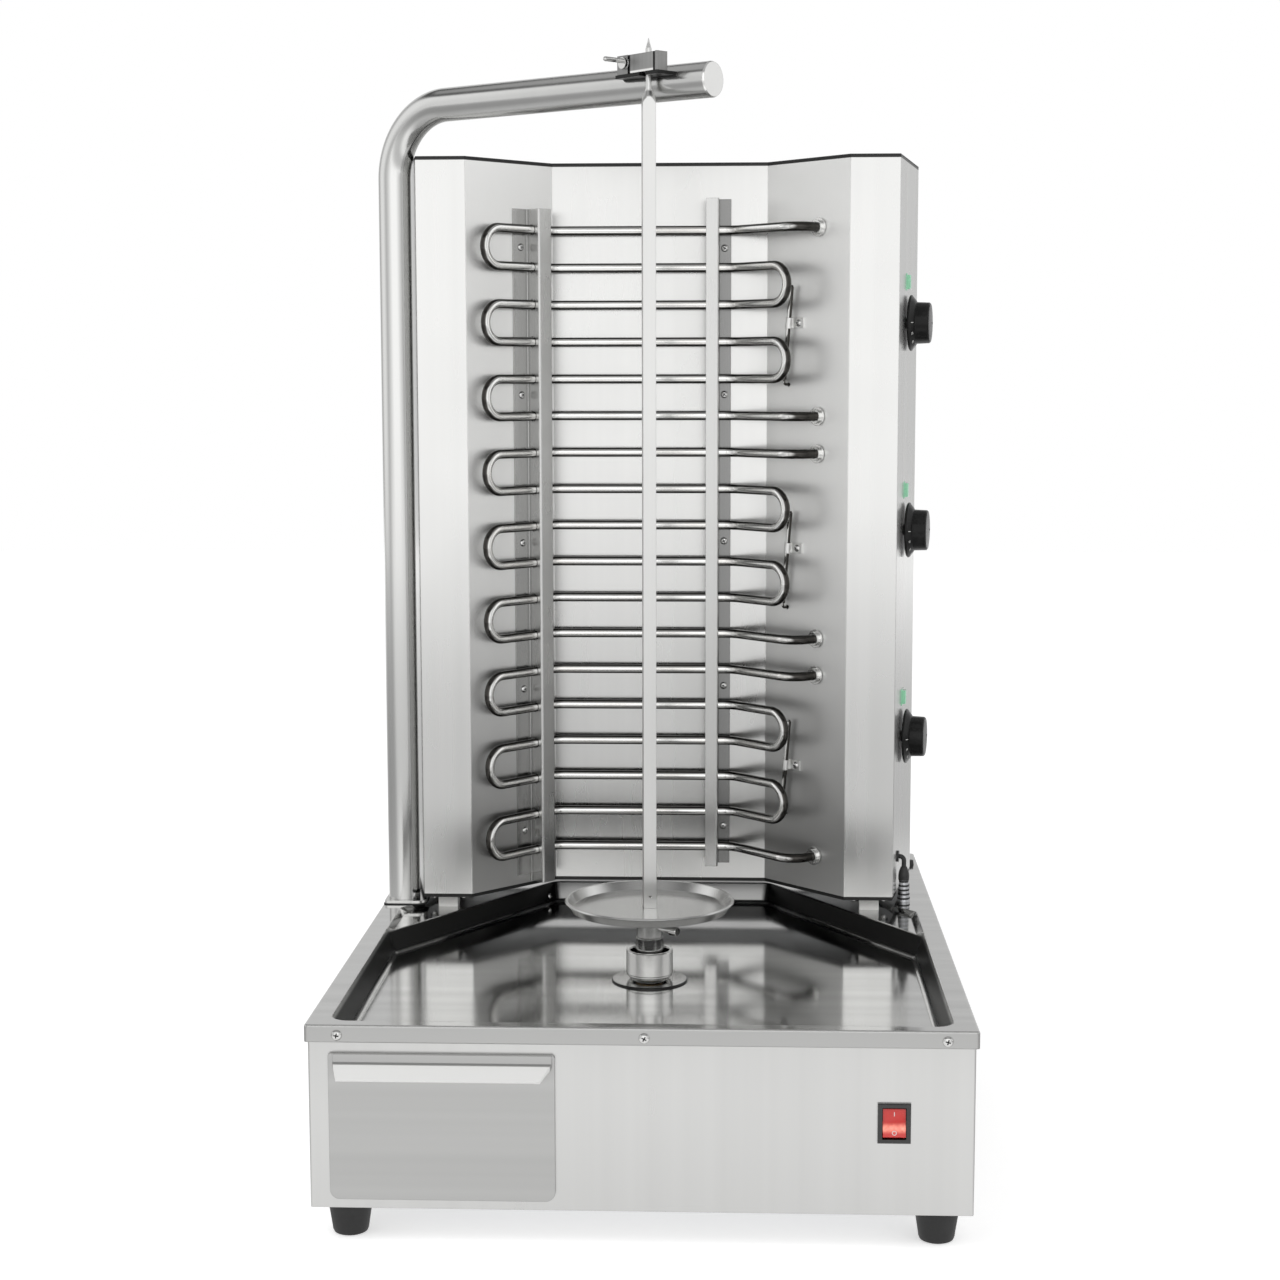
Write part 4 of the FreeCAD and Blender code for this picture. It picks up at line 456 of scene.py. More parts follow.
def tray_steel():
    """Pressed tray: mirror-bright floor and rim top, satin skirt; painted shade on the pan walls and the
    skirt, and near-black painted shade on the V walls.
    """
    material, tree, shader, coordinates = new_material("tray_steel")
    x, y, z = parts_of(tree, coordinates)
    facing = parts_of(tree, normal_of(tree))
    across = within(tree, x, TRAY_INSIDE_X[0] * MM, TRAY_INSIDE_X[1] * MM, 0.4 * MM)
    along = within(tree, y, TRAY_INSIDE_Y[0] * MM, TRAY_INSIDE_Y[1] * MM, 0.4 * MM)
    inside = maths(tree, "MULTIPLY", across, along)
    # mask of the pan walls, which get painted shade
    wall = maths(tree, "MULTIPLY", inside, ranged(tree, facing[2], 0.55, 0.95, 1.0, 0.0))
    wall = maths(tree, "MULTIPLY", wall, falling(tree, z, TRAY_ROLL, 2.2))
    turned_forward = ranged(tree, facing[1], -0.97, -0.85, 1.0, 0.0)
    back_wall = maths(tree, "MULTIPLY", turned_forward, rising(tree, y, TRAY_BACK_WALL, 20.0))
    v_wall_shade = maths(tree, "MULTIPLY", wall, maths(tree, "SUBTRACT", 1.0, back_wall))
    grain = placed_group(tree, SHEET_GRAIN, Vector=coordinates, Stretch=LEVEL, Contrast=1.0)
    wiped = placed_group(tree, HANDLING_MARKS, Vector=coordinates, Size=9.0, Amount=0.02)
    outside = maths(tree, "SUBTRACT", 1.0, inside)
    # mask of the skirt, which gets painted shade
    skirt = maths(tree, "MULTIPLY", outside, ranged(tree, facing[2], 0.05, 0.4, 1.0, 0.0))
    tone = mixed(tree, grain.outputs["Streaks"], grey(0.56), grey(0.64))
    # painted shade: 0.34 on the pan walls, 0.44 on the skirt, near-black on the V walls
    for mask, level in ((wall, 0.34), (skirt, 0.44), (v_wall_shade, 0.022)):
        tone = mixed(tree, mask, tone, grey(level))
    satin = ranged(tree, facing[2], 0.3, 0.7, 0.3, 0.11)
    rough = maths(tree, "ADD", satin, wiped.outputs["Gloss change"], clamp=True)
    feed(tree, shader, {"Base Color": tone, "Roughness": rough, "Metallic": 1.0})
    relief(tree, shader, grain.outputs["Lines"], 0.000003, 0.0016)
    return material


def lipped_steel():
    """Drawer face with level grain; its pull lip is blasted matt and pale."""
    material, tree, shader, coordinates = new_material("drawer_face_steel")
    y, z = parts_of(tree, coordinates)[1:]
    lip = maths(tree, "MULTIPLY", falling(tree, y, LIP_FACE, 0.6), rising(tree, z, LIP_FOOT, 1.0))
    grain = placed_group(tree, SHEET_GRAIN, Vector=coordinates, Stretch=LEVEL, Contrast=1.0)
    tone = mixed(tree, grain.outputs["Streaks"], grey(0.42), grey(0.48))
    feed(tree, shader, {
        "Base Color": mixed(tree, lip, tone, grey(0.88)),
        "Metallic": maths(tree, "SUBTRACT", 1.0, maths(tree, "MULTIPLY", lip, 0.7)),
        "Roughness": ranged(tree, grain.outputs["Streaks"], 0.0, 1.0, 0.38, 0.42)})
    relief(tree, shader, grain.outputs["Lines"], 0.000015, 0.0007)
    return material


def plastic_with_painted_highlight(name, body, painted_highlight, centre, height, strength, gloss=0.18):
    """Clear coloured plastic with a painted highlight: a paler band at a given height that also glows."""
    material, tree, shader, coordinates = new_material(name)
    away = maths(tree, "ABSOLUTE", maths(tree, "SUBTRACT", parts_of(tree, coordinates)[2], centre))
    highlight_band = ranged(tree, away, 0.0, height, 1.0, 0.0, smooth=True)
    ripple = add(tree, "ShaderNodeTexNoise", Vector=coordinates, Scale=420.0, Detail=3.0).outputs[0]
    highlight_mask = maths(tree, "MULTIPLY", highlight_band, ranged(tree, ripple, 0.35, 0.65, 0.55, 1.0))
    feed(tree, shader, {
        # painted highlight, in the base colour and in the emission
        "Base Color": mixed(tree, highlight_mask, body, painted_highlight), "Emission Color": mixed(tree, highlight_mask, BLACK, painted_highlight),
        "Emission Strength": strength, "Roughness": ranged(tree, ripple, 0.3, 0.7, gloss, gloss + 0.1),
        "Coat Weight": 0.6, "Coat Roughness": 0.05})
    return material


def pilot_lens():
    """Clear green lens: a painted highlight in pale green at its front edge, deep green behind it."""
    material, tree, shader, coordinates = new_material("pilot_green")
    back = parts_of(tree, coordinates)[1]
    ripple = add(tree, "ShaderNodeTexNoise", Vector=coordinates, Scale=500.0, Detail=2.0).outputs[0]
    # painted highlight at the front edge, fading to the deep green
    deep = ranged(tree, back, LENS_FRONT * MM, (LENS_FRONT + 2.0) * MM, 0.0, 1.0, smooth=True)
    tone = mixed(tree, deep, LENS_PAINTED_HIGHLIGHT, LENS_DEEP)
    feed(tree, shader, {
        "Base Color": mixed(tree, ranged(tree, ripple, 0.3, 0.7, 0.0, 0.25), tone, LENS_RIPPLE),
        "Roughness": ranged(tree, ripple, 0.3, 0.7, 0.12, 0.2), "Coat Weight": 0.6})
    return material


def glazed_ceramic():
    material, tree, shader, coordinates = new_material("steatite_glaze")
    skin = placed_group(tree, MOULDED_SKIN, Vector=coordinates, Size=900.0)
    feed(tree, shader, {
        "Base Color": mixed(tree, skin.outputs["Wear"], (0.95, 0.945, 0.92, 1), (0.86, 0.85, 0.82, 1)),
        "Roughness": ranged(tree, skin.outputs["Wear"], 0, 1, 0.22, 0.4), "Coat Weight": 0.4})
    relief(tree, shader, skin.outputs["Height"], 0.00004)
    return material


def white_print():
    material, tree, shader, coordinates = new_material("white_print")
    skin = placed_group(tree, MOULDED_SKIN, Vector=coordinates, Size=4000.0)
    feed(tree, shader, {
        "Base Color": mixed(tree, skin.outputs["Wear"], (0.85, 0.85, 0.83, 1), (0.62, 0.62, 0.6, 1)),
        "Roughness": ranged(tree, skin.outputs["Wear"], 0, 1, 0.45, 0.6)})
    return material


# cabinet finish with painted shade, a painted reflection on the wings and painted seam shadows
CABINET_STEEL = steel("cabinet_steel", grey(0.73), grey(0.65), 0.28, UPRIGHT, contrast=0.05, anisotropic=0.85,
                      streak_gloss=0.03, places=painted_wing_shade_and_seam_shadows)
COVER_STEEL = steel("cover_steel", grey(0.73), grey(0.65), 0.28, LEVEL, contrast=0.05, streak_gloss=0.03)
BASE_STEEL = steel("base_steel", grey(0.64), grey(0.57), 0.30, UPRIGHT, contrast=0.05, anisotropic=0.5,
                   streak_gloss=0.03)
DRAWER_STEEL = steel("drawer_steel", grey(0.56), grey(0.50), 0.42, LEVEL, contrast=0.1, streak_gloss=0.03)
DRAWER_FACE = lipped_steel()
TRAY_STEEL = tray_steel()
# rail finish with painted shade on the mounting strips
RAIL_STEEL = steel("rail_steel", grey(0.62), grey(0.50), 0.26, UPRIGHT, anisotropic=0.4,
                   places=painted_rail_strip_shade)
HUB_STEEL = steel("hub_steel", grey(0.62), grey(0.54), 0.14, ROUND, places=hub_seam)
CLIP_STEEL = steel("clip_steel", grey(0.86), grey(0.76), 0.34, ROUND)
CAP_STEEL = steel("cap_steel", grey(0.86), grey(0.78), 0.22, ROUND)
# yoke finish with painted shade underneath
YOKE_STEEL = steel("yoke_steel", grey(0.32), grey(0.20), 0.26, (0.35, 0.35, 0.01), edge=0.0005,
                   places=painted_yoke_underside_shade)
POLISHED = steel("polished_steel", grey(0.64), grey(0.60), 0.12, UPRIGHT, depth=0.000005, marks=0.015,
                 streak_gloss=0.02)
MAST_STEEL = steel("mast_steel", grey(0.66), grey(0.62), 0.19, UPRIGHT, depth=0.000001, streak_gloss=0.02)
TURNED = steel("turned_steel", grey(0.66), grey(0.58), 0.16, TURNED_ROUND, depth=0.000012, marks=0.03)
PLATE_STEEL = steel("plate_steel", grey(0.68), grey(0.60), 0.25, TURNED_ROUND)
BAR_STEEL = steel("bar_steel", grey(0.70), grey(0.62), 0.34, UPRIGHT, anisotropic=0.5)
# block finish with painted gap shade and a painted edge highlight
BLOCK_METAL = steel("block_metal", grey(0.40), grey(0.18), 0.34, (0.35, 0.35, 0.006), depth=0.00001,
                    edge=0.0008, places=painted_block_shade_and_highlight)
ZINC = steel("zinc_plate", (0.55, 0.56, 0.57, 1), (0.47, 0.48, 0.5, 1), 0.38, ROUND, depth=0.00003)
SCREW_STEEL = steel("screw_steel", grey(0.7), grey(0.6), 0.18, ROUND, depth=0.00001, marks=0.03, edge=0.0002)
# painted shade: the screws' cross recesses are near-black
RECESS_SHADE = moulded("screw_recess_shade", (0.02, 0.02, 0.02, 1), 0.5)
HEATER_STEEL = heater_steel()
BRONZE = steel("turned_bronze", (0.62, 0.42, 0.2, 1), (0.5, 0.33, 0.16, 1), 0.3, ROUND)
MOTOR_PAINT = moulded("motor_enamel", (0.055, 0.06, 0.065, 1), 0.35)
KNOB_PLASTIC = moulded("knob_plastic", (0.010, 0.010, 0.010, 1), 0.24, pebble=0.00001, specular=0.16)
SWITCH_PLASTIC = moulded("switch_plastic", (0.012, 0.012, 0.012, 1), 0.22, coat=0.3)
GLAND_PLASTIC = moulded("gland_plastic", (0.018, 0.018, 0.018, 1), 0.4)
NYLON = moulded("nylon", (0.62, 0.6, 0.54, 1), 0.4)
RUBBER = moulded("foot_rubber", (0.012, 0.012, 0.012, 1), 0.55, pebble=0.00008, size=1400.0)
BEAD_RUBBER = moulded("bead_rubber", (0.008, 0.008, 0.008, 1), 0.5)
# red rocker with a painted, glowing highlight band just below the pivot
ROCKER_RED = plastic_with_painted_highlight("rocker_red", (0.62, 0.012, 0.006, 1), (1.0, 0.33, 0.24, 1),
                         (SWITCH_Z - 3.2) * MM, 4.4 * MM, 0.35)
PILOT_GREEN = pilot_lens()
CERAMIC = glazed_ceramic()
PRINT = white_print()

FINISHES = (
    (BASE_STEEL, "base_shell"), (TRAY_STEEL, "tray_pan"), (DRAWER_STEEL, "drawer_box"),
    (DRAWER_FACE, "drawer_front"), (CABINET_STEEL, "reflector cabinet_shell"), (COVER_STEEL, "top_cover"),
    (ZINC, "base_bottom bottom_cover drawer_runners motor_bracket cable_sleeve"),
    (SCREW_STEEL, "tray_screws foot_screws gearmotor_screws mast_screws plate_screw cabinet_screws"
                  " support_bolts reflector_screws spindle_1 spindle_2 spindle_3"),
    (RAIL_STEEL, "rail_left rail_right"), (HUB_STEEL, "hub_flange"), (CLIP_STEEL, "sensor_clips"),
    (CAP_STEEL, "mast_cap element_collars"), (YOKE_STEEL, "top_yoke"), (MAST_STEEL, "mast_tube"),
    (POLISHED, "mast_plate lock_pin"), (BLOCK_METAL, "bearing_block"), (BAR_STEEL, "skewer_bar"),
    (TURNED, "drive_shaft drive_cup skewer_foot"), (PLATE_STEEL, "skewer_plate"), (BRONZE, "hub_bush"),
    (HEATER_STEEL, "element_1 element_2 element_3 sensor_bulbs"), (MOTOR_PAINT, "gearmotor"),
    (RUBBER, "feet"), (BEAD_RUBBER, "mast_gasket cabinet_gaskets"), (CERAMIC, "support_blocks"),
    (KNOB_PLASTIC, "knob_1 knob_2 knob_3"), (PILOT_GREEN, "pilot_lights"), (NYLON, "terminal_block"),
    (SWITCH_PLASTIC, "switch_body"), (ROCKER_RED, "switch_rocker"),
    (GLAND_PLASTIC, "mains_gland thermostats jumper_cable cable_grips"),
)


def finish(thing, material):
    thing.data.materials.clear()
    thing.data.materials.append(material)


for material, nodes in FINISHES:
    for node in nodes.split():
        finish(frame["nodes"][node], material)


# ---- Pieces -------------------------------------------------------------------------------------
MERGE_DISTANCE = 0.000002
CURVE_ANGLE, TUBE_ANGLE, SCREW_ANGLE = 32.0, 40.0, 30.0


def new_object(name, mesh):
    thing = bpy.data.objects.new(name, mesh)
    bpy.context.scene.collection.objects.link(thing)
    return thing


def evaluated(thing):
    """Plain mesh of an object with its modifiers worked out."""
    bpy.context.view_layer.update()
    graph = bpy.context.evaluated_depsgraph_get()
    return bpy.data.meshes.new_from_object(thing.evaluated_get(graph))


def settled(thing):
    """The same object with its modifiers applied and removed."""
    mesh = evaluated(thing)
    thing.modifiers.clear()
    thing.data = mesh
    return thing


def smooth_by_angle(mesh, angle):
    work = bmesh.new()
    work.from_mesh(mesh)
    bmesh.ops.remove_doubles(work, verts=work.verts, dist=MERGE_DISTANCE)
    for face in work.faces:
        face.smooth = True
    for edge in work.edges:
        edge.smooth = len(edge.link_faces) == 2 and edge.calc_face_angle(math.pi) < math.radians(angle)
    work.to_mesh(mesh)
    work.free()


def stand_in(thing, body, node):
    """Shows a finished piece in place of a solid, on the solid's body."""
    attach(thing, body)
    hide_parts(node)


def rounded_copy(node):
    """Merged copy of a solid with smooth curved faces and flat flats, shown in its place."""
    source = frame["nodes"][node]
    mesh = source.data.copy()
    smooth_by_angle(mesh, CURVE_ANGLE)
    thing = new_object(node + "_finished", mesh)
    weighting = thing.modifiers.new("flat faces first", "WEIGHTED_NORMAL")
    weighting.keep_sharp = True
    weighting.weight = 80
    settled(thing)
    stand_in(thing, source["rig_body"], node)


ROUNDED = """
    tray_pan feet hub_flange mast_cap mast_plate top_yoke bearing_block lock_pin drive_cup skewer_foot
    skewer_plate plate_screw skewer_bar drawer_front switch_body switch_rocker element_collars
    sensor_bulbs sensor_clips cable_sleeve cable_grips rail_left rail_right mains_gland pilot_lights
    reflector cabinet_shell base_shell knob_1 knob_2 knob_3
"""
for node in ROUNDED.split():
    rounded_copy(node)


# ---- Swept tubes --------------------------------------------------------------------------------
def tube_tree():
    """Geometry Nodes: rounds the corners of a path and sweeps a circle along it, ends closed."""
    tree, start, end = node_group(
        "swept_tube", "Geometry",
        [("Geometry", "Geometry", None), ("Tube Radius", "Float", 0.004), ("Sides", "Int", 24),
         ("Bend Steps", "Int", 10), ("Material", "Material", None)], [("Geometry", "Geometry")])
    route = add(tree, "GeometryNodeMeshToCurve", Mesh=start.outputs["Geometry"])
    bend = add(tree, "GeometryNodeInputNamedAttribute", {"data_type": "FLOAT"}, Name="bend_radius")
    filleted = add(tree, "GeometryNodeFilletCurve", {"mode": "POLY"}, Curve=route.outputs[0],
                   Radius=bend.outputs[0], Count=start.outputs["Bend Steps"])
    circle = add(tree, "GeometryNodeCurvePrimitiveCircle", Resolution=start.outputs["Sides"],
                 Radius=start.outputs["Tube Radius"])
    swept = add(tree, "GeometryNodeCurveToMesh", Curve=filleted.outputs[0],
                Profile_Curve=circle.outputs["Curve"], Fill_Caps=True)
    merged = add(tree, "GeometryNodeRealizeInstances", Geometry=swept.outputs[0])
    painted = add(tree, "GeometryNodeSetMaterial", Geometry=merged.outputs[0],
                  Material=start.outputs["Material"])
    tree.links.new(painted.outputs[0], end.inputs[0])
    return tree


def grown(name, mesh, tree, values, angle):
    """Object made from a path or points by a Geometry Nodes tree, whose inputs are given by name."""
    thing = new_object(name, mesh)
    modifier = thing.modifiers.new(tree.name, "NODES")
    modifier.node_group = tree
    for item in tree.interface.items_tree:
        if item.item_type == "SOCKET" and item.in_out == "INPUT" and item.name in values:
            modifier[item.identifier] = values[item.name]
    settled(thing)
    smooth_by_angle(thing.data, angle)
    return thing


def swept_tube(name, points, bends, radius, sides, steps, material, node):
    mesh = bpy.data.meshes.new(name)
    mesh.from_pydata([p * MM for p in points], [(i, i + 1) for i in range(len(points) - 1)], [])
    radii = mesh.attributes.new("bend_radius", "FLOAT", "POINT")
    radii.data.foreach_set("value", [bend * MM for bend in bends])
    sizes = {"Tube Radius": radius * MM, "Sides": sides, "Bend Steps": steps, "Material": material}
    stand_in(grown(name, mesh, TUBE_TREE, sizes, TUBE_ANGLE), "base", node)


def row_height(row):
    return ROW_TOP - ROW_PITCH * row


def serpentine(number):
    """Corner points and bend radii of one heater, from its entry in the right wing to its exit."""
    right_leg = heading(-RIGHT_LEG_ANGLE)
    left_leg = heading(180 + LEFT_LEG_ANGLE)
    first = number * ROWS_PER_ELEMENT
    last = first + ROWS_PER_ELEMENT - 1
    u_bend = ROW_PITCH / 2 - 0.01

    def end_corner(row):
        return Vector((ELEMENT_RIGHT_BEND, ROW_Y, row_height(row))) + right_leg * END_LEG

    entry = end_corner(first) - WING_NORMAL_RIGHT * (END_DROP + 12.0)
    route = [(entry, 0), (end_corner(first), 17.0)]
    for row in range(first, last + 1):
        right_bend = Vector((ELEMENT_RIGHT_BEND, ROW_Y, row_height(row)))
        left_bend = Vector((ELEMENT_LEFT_BEND, ROW_Y, row_height(row)))
        right_tip = (right_bend + right_leg * RIGHT_LEG, u_bend)
        run = [(right_bend, 18.0), (left_bend, 15.0), (left_bend + left_leg * LEFT_LEG, u_bend)]
        leftwards = (row - first) % 2 == 0
        if leftwards and row > first:
            run.insert(0, right_tip)
        if not leftwards:
            run.reverse()
            if row < last:
                run.append(right_tip)
        route += run
    route += [(end_corner(last), 17.0), (end_corner(last) - WING_NORMAL_RIGHT * (END_DROP + 12.0), 0)]
    return [point for point, _ in route], [radius for _, radius in route]


TUBE_TREE = tube_tree()
for number in range(ELEMENT_COUNT):
    points, bends = serpentine(number)
    swept_tube("heater_%d" % (number + 1), points, bends, ELEMENT_RADIUS, 24, 10, HEATER_STEEL,
               "element_%d" % (number + 1))

MAST_CORNER = Vector((MAST_X, MAST_Y, ARM_HEIGHT))
MAST_ROUTE = [Vector((MAST_X, MAST_Y, MAST_FOOT)), MAST_CORNER,
              MAST_CORNER + heading(ARM_HEADING) * ARM_REACH]
swept_tube("mast_and_arm", MAST_ROUTE, [0, MAST_BEND, 0], MAST_RADIUS, 96, 40, MAST_STEEL, "mast_tube")


# ---- Screws -------------------------------------------------------------------------------------
def screw_tree():
    """Geometry Nodes: a domed cross-recessed head on each point, turned at random about its axis.

    The head is built with a radius of one, and its sizes are shares of that radius.
    """
    tree, start, end = node_group(
        "domed_screws", "Geometry",
        [("Geometry", "Geometry", None), ("Head Height", "Float", 0.55), ("Recess Length", "Float", 0.95),
         ("Recess Width", "Float", 0.22), ("Recess Depth", "Float", 0.3), ("Seed", "Int", 7),
         ("Material", "Material", None), ("Recess Shade Material", "Material", None)],
        [("Geometry", "Geometry")])

    def sized(x, y, z):
        return add(tree, "ShaderNodeCombineXYZ", X=x, Y=y, Z=z).outputs[0]

    height = start.outputs["Head Height"]
    ball = add(tree, "GeometryNodeMeshUVSphere", Segments=32, Rings=24, Radius=1.0)
    dome = add(tree, "GeometryNodeTransform", Geometry=ball.outputs[0], Scale=sized(1.0, 1.0, height))
    under = add(tree, "GeometryNodeMeshCube", Size=(3.0, 3.0, 3.0))
    under = add(tree, "GeometryNodeTransform", Geometry=under.outputs[0], Translation=(0, 0, -1.5))
    cut = add(tree, "GeometryNodeMeshBoolean", {"operation": "DIFFERENCE"}, Mesh_1=dome.outputs[0])
    tree.links.new(under.outputs[0], cut.inputs["Mesh 2"])
    deep = maths(tree, "MULTIPLY", start.outputs["Recess Depth"], 2.0)
    long, wide = start.outputs["Recess Length"], start.outputs["Recess Width"]
    for size in (sized(long, wide, deep), sized(wide, long, deep)):
        slot = add(tree, "GeometryNodeMeshCube", Size=size)
        slot = add(tree, "GeometryNodeTransform", Geometry=slot.outputs[0],
                   Translation=sized(0.0, 0.0, height))
        marked = add(tree, "GeometryNodeStoreNamedAttribute", {"data_type": "BOOLEAN", "domain": "FACE"},
                     Geometry=slot.outputs[0], Name="recess", Value=True)
        tree.links.new(marked.outputs[0], cut.inputs["Mesh 2"])
    way = add(tree, "GeometryNodeInputNamedAttribute", {"data_type": "FLOAT_VECTOR"}, Name="facing")
    aligned = add(tree, "FunctionNodeAlignRotationToVector", {"axis": "Z"}, Vector=way.outputs[0])
    angle = add(tree, "FunctionNodeRandomValue", {"data_type": "FLOAT"}, Seed=start.outputs["Seed"])
    angle.inputs[2].default_value, angle.inputs[3].default_value = 0.0, math.pi / 2
    spin = add(tree, "FunctionNodeAxisAngleToRotation", Axis=(0, 0, 1), Angle=angle.outputs[1])
    turned = add(tree, "FunctionNodeRotateRotation", {"rotation_space": "LOCAL"}, i0=aligned.outputs[0],
                 i1=spin.outputs[0])
    size = add(tree, "GeometryNodeInputNamedAttribute", {"data_type": "FLOAT"}, Name="head_radius")
    placed = add(tree, "GeometryNodeInstanceOnPoints", Points=start.outputs["Geometry"],
                 Instance=cut.outputs[0], Rotation=turned.outputs[0], Scale=size.outputs[0])
    merged = add(tree, "GeometryNodeRealizeInstances", Geometry=placed.outputs[0])
    painted = add(tree, "GeometryNodeSetMaterial", Geometry=merged.outputs[0],
                  Material=start.outputs["Material"])
    # the recess faces get the painted shade material
    recess = add(tree, "GeometryNodeInputNamedAttribute", {"data_type": "BOOLEAN"}, Name="recess")
    painted = add(tree, "GeometryNodeSetMaterial", Geometry=painted.outputs[0], Selection=recess.outputs[0],
                  Material=start.outputs["Recess Shade Material"])
    tree.links.new(painted.outputs[0], end.inputs[0])
    return tree


def domed_screws(name, heads, node, seed):
    """Heads given as (seat centre, outward direction, radius), all in millimetres."""
    mesh = bpy.data.meshes.new(name)
    mesh.from_pydata([seat * MM for seat, _, _ in heads], [], [])
    facing = mesh.attributes.new("facing", "FLOAT_VECTOR", "POINT")
    facing.data.foreach_set("vector", [value for _, way, _ in heads for value in way])
    sizes = mesh.attributes.new("head_radius", "FLOAT", "POINT")
    sizes.data.foreach_set("value", [radius * MM for _, _, radius in heads])
    values = {"Seed": seed, "Material": SCREW_STEEL, "Recess Shade Material": RECESS_SHADE}
    stand_in(grown(name, mesh, SCREW_TREE, values, SCREW_ANGLE), "base", node)


SCREW_TREE = screw_tree()
TRAY_HEAD, RAIL_HEAD, CABINET_HEAD, PAN_HEAD = 3.9, 3.2, 3.4, 2.6
TRAY_SCREWS = [(Vector((x, -TRAY_FRONT, TRAY_SCREW_Z)), -BACK, TRAY_HEAD) for x in (-214, 3, 215)]
TRAY_SCREWS += [(Vector((x, TRAY_FRONT, TRAY_SCREW_Z)), BACK, TRAY_HEAD) for x in (-200, 0, 200)]
TRAY_SCREWS.append((Vector((-100.8, 166.2, 149.0)), Vector((0.806, -0.517, 0.289)), PAN_HEAD))
RAIL_SCREWS = [(left_wing_point(112.8, z, SHEET), WING_NORMAL_LEFT, RAIL_HEAD) for z in RAIL_SCREW_HEIGHTS]
RAIL_SCREWS += [(Vector((56.0, BACK_WALL_Y - SHEET, z)), -BACK, RAIL_HEAD) for z in RAIL_SCREW_HEIGHTS]
RAIL_SCREWS += [(right_wing_point(111.5, z, SHEET), WING_NORMAL_RIGHT, RAIL_HEAD) for z in CLIP_HEIGHTS]
CABINET_SCREWS = [(Vector((x, CABINET_BACK, z)), BACK, CABINET_HEAD)
                  for x in (-205, 205) for z in (200, 485, 770)]
CABINET_SCREWS += [(Vector((x, y, CABINET_TOP)), UP, CABINET_HEAD)
                   for x, y in ((-185, 96), (185, 96), (-196, 166), (196, 166), (0, 168))]
domed_screws("tray_screw_heads", TRAY_SCREWS, "tray_screws", 3)
domed_screws("rail_screw_heads", RAIL_SCREWS, "reflector_screws", 5)
domed_screws("cabinet_screw_heads", CABINET_SCREWS, "cabinet_screws", 9)


# ---- Printed marks ------------------------------------------------------------------------------
PRINT_LIFT, PRINT_REACH = 0.05, 0.05
DIAL_RADIUS, DIAL_START, DIAL_STEP, DIAL_MARKS = 20.3, 180.0, 26.0, 7
DIAL_LETTER, ROCKER_LETTER, ROCKER_LETTER_RISE = 2.3, 4.6, 6.6


def lettered(text, size):
    """Plain outline letters as a fine mesh, centred on the origin, in millimetres."""
    curve = bpy.data.curves.new("letters", "FONT")
    curve.body = text
    curve.size = size
    curve.align_x, curve.align_y = "CENTER", "CENTER"
    curve.resolution_u = 3
    thing = new_object("letters", curve)
    mesh = evaluated(thing)
    bpy.data.objects.remove(thing)
    return mesh


def dash(width, height):
    mesh = bpy.data.meshes.new("dash")
    w, h = width / 2, height / 2
    mesh.from_pydata([(-w, -h, 0), (w, -h, 0), (w, h, 0), (-w, h, 0)], [], [(0, 1, 2, 3)])
    return mesh


def printed(name, marks, node, towards, body):
    """Marks, each a (mesh, place) pair, pressed along a direction onto a solid's own surface."""
    source = frame["nodes"][node].data
    surface = BVHTree.FromPolygons([v.co for v in source.vertices], [p.vertices for p in source.polygons])
    work = bmesh.new()
    for mesh, place in marks:
        before = len(work.verts)
        work.from_mesh(mesh)
        work.verts.ensure_lookup_table()
        for vertex in work.verts[before:]:
            start = place @ vertex.co * MM - towards * PRINT_REACH
            hit = surface.ray_cast(start, towards, 2 * PRINT_REACH)
            vertex.co = hit[0] + hit[1] * PRINT_LIFT * MM
    joined = bpy.data.meshes.new(name)
    bmesh.ops.recalc_face_normals(work, faces=work.faces)
    for face in work.faces:
        if face.normal.dot(towards) > 0:
            face.normal_flip()
    work.to_mesh(joined)
    work.free()
    thing = new_object(name, joined)
    finish(thing, PRINT)
    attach(thing, body)


def side_wall_point(back, height):
    run = (back - CABINET_FRONT) / (CABINET_BACK - CABINET_FRONT)
    return Vector((CABINET_FRONT_HALF + run * (CABINET_BACK_HALF - CABINET_FRONT_HALF), back, height))


def standing(across, outward, place):
    """Turns marks drawn on the level to stand upright on a face."""
    return Matrix.Translation(place) @ Matrix((across, UP, outward)).transposed().to_4x4()


def dial_marks(height):
    """A start dash and the numbers 50 to 300 round the sloped skirt, tops outwards."""
    face = standing(heading(90 - SIDE_ANGLE), SIDE_NORMAL, side_wall_point(KNOB_Y, height))
    marks = []
    for step in range(DIAL_MARKS):
        turn = Matrix.Rotation(math.radians(DIAL_START + DIAL_STEP * step - 90), 4, "Z")
        mesh = dash(0.5, 2.2) if step == 0 else lettered(str(50 * step), DIAL_LETTER)
        marks.append((mesh, face @ turn @ Matrix.Translation((0, DIAL_RADIUS, 0))))
    return marks


def rocker_mark(letter, rise):
    place = (SWITCH_X, ROCKER_PIVOT_Y, SWITCH_Z + rise)
    return lettered(letter, ROCKER_LETTER), standing(RIGHT, -BACK, place)


for number, (height, body) in enumerate(zip(KNOB_HEIGHTS, KNOB_BODIES), 1):
    printed("dial_numbers_%d" % number, dial_marks(height), "knob_%d" % number, -SIDE_NORMAL, body)
ROCKER_MARKS = [rocker_mark("I", ROCKER_LETTER_RISE), rocker_mark("O", -ROCKER_LETTER_RISE)]
printed("rocker_marks", ROCKER_MARKS, "switch_rocker", BACK, "rocker")


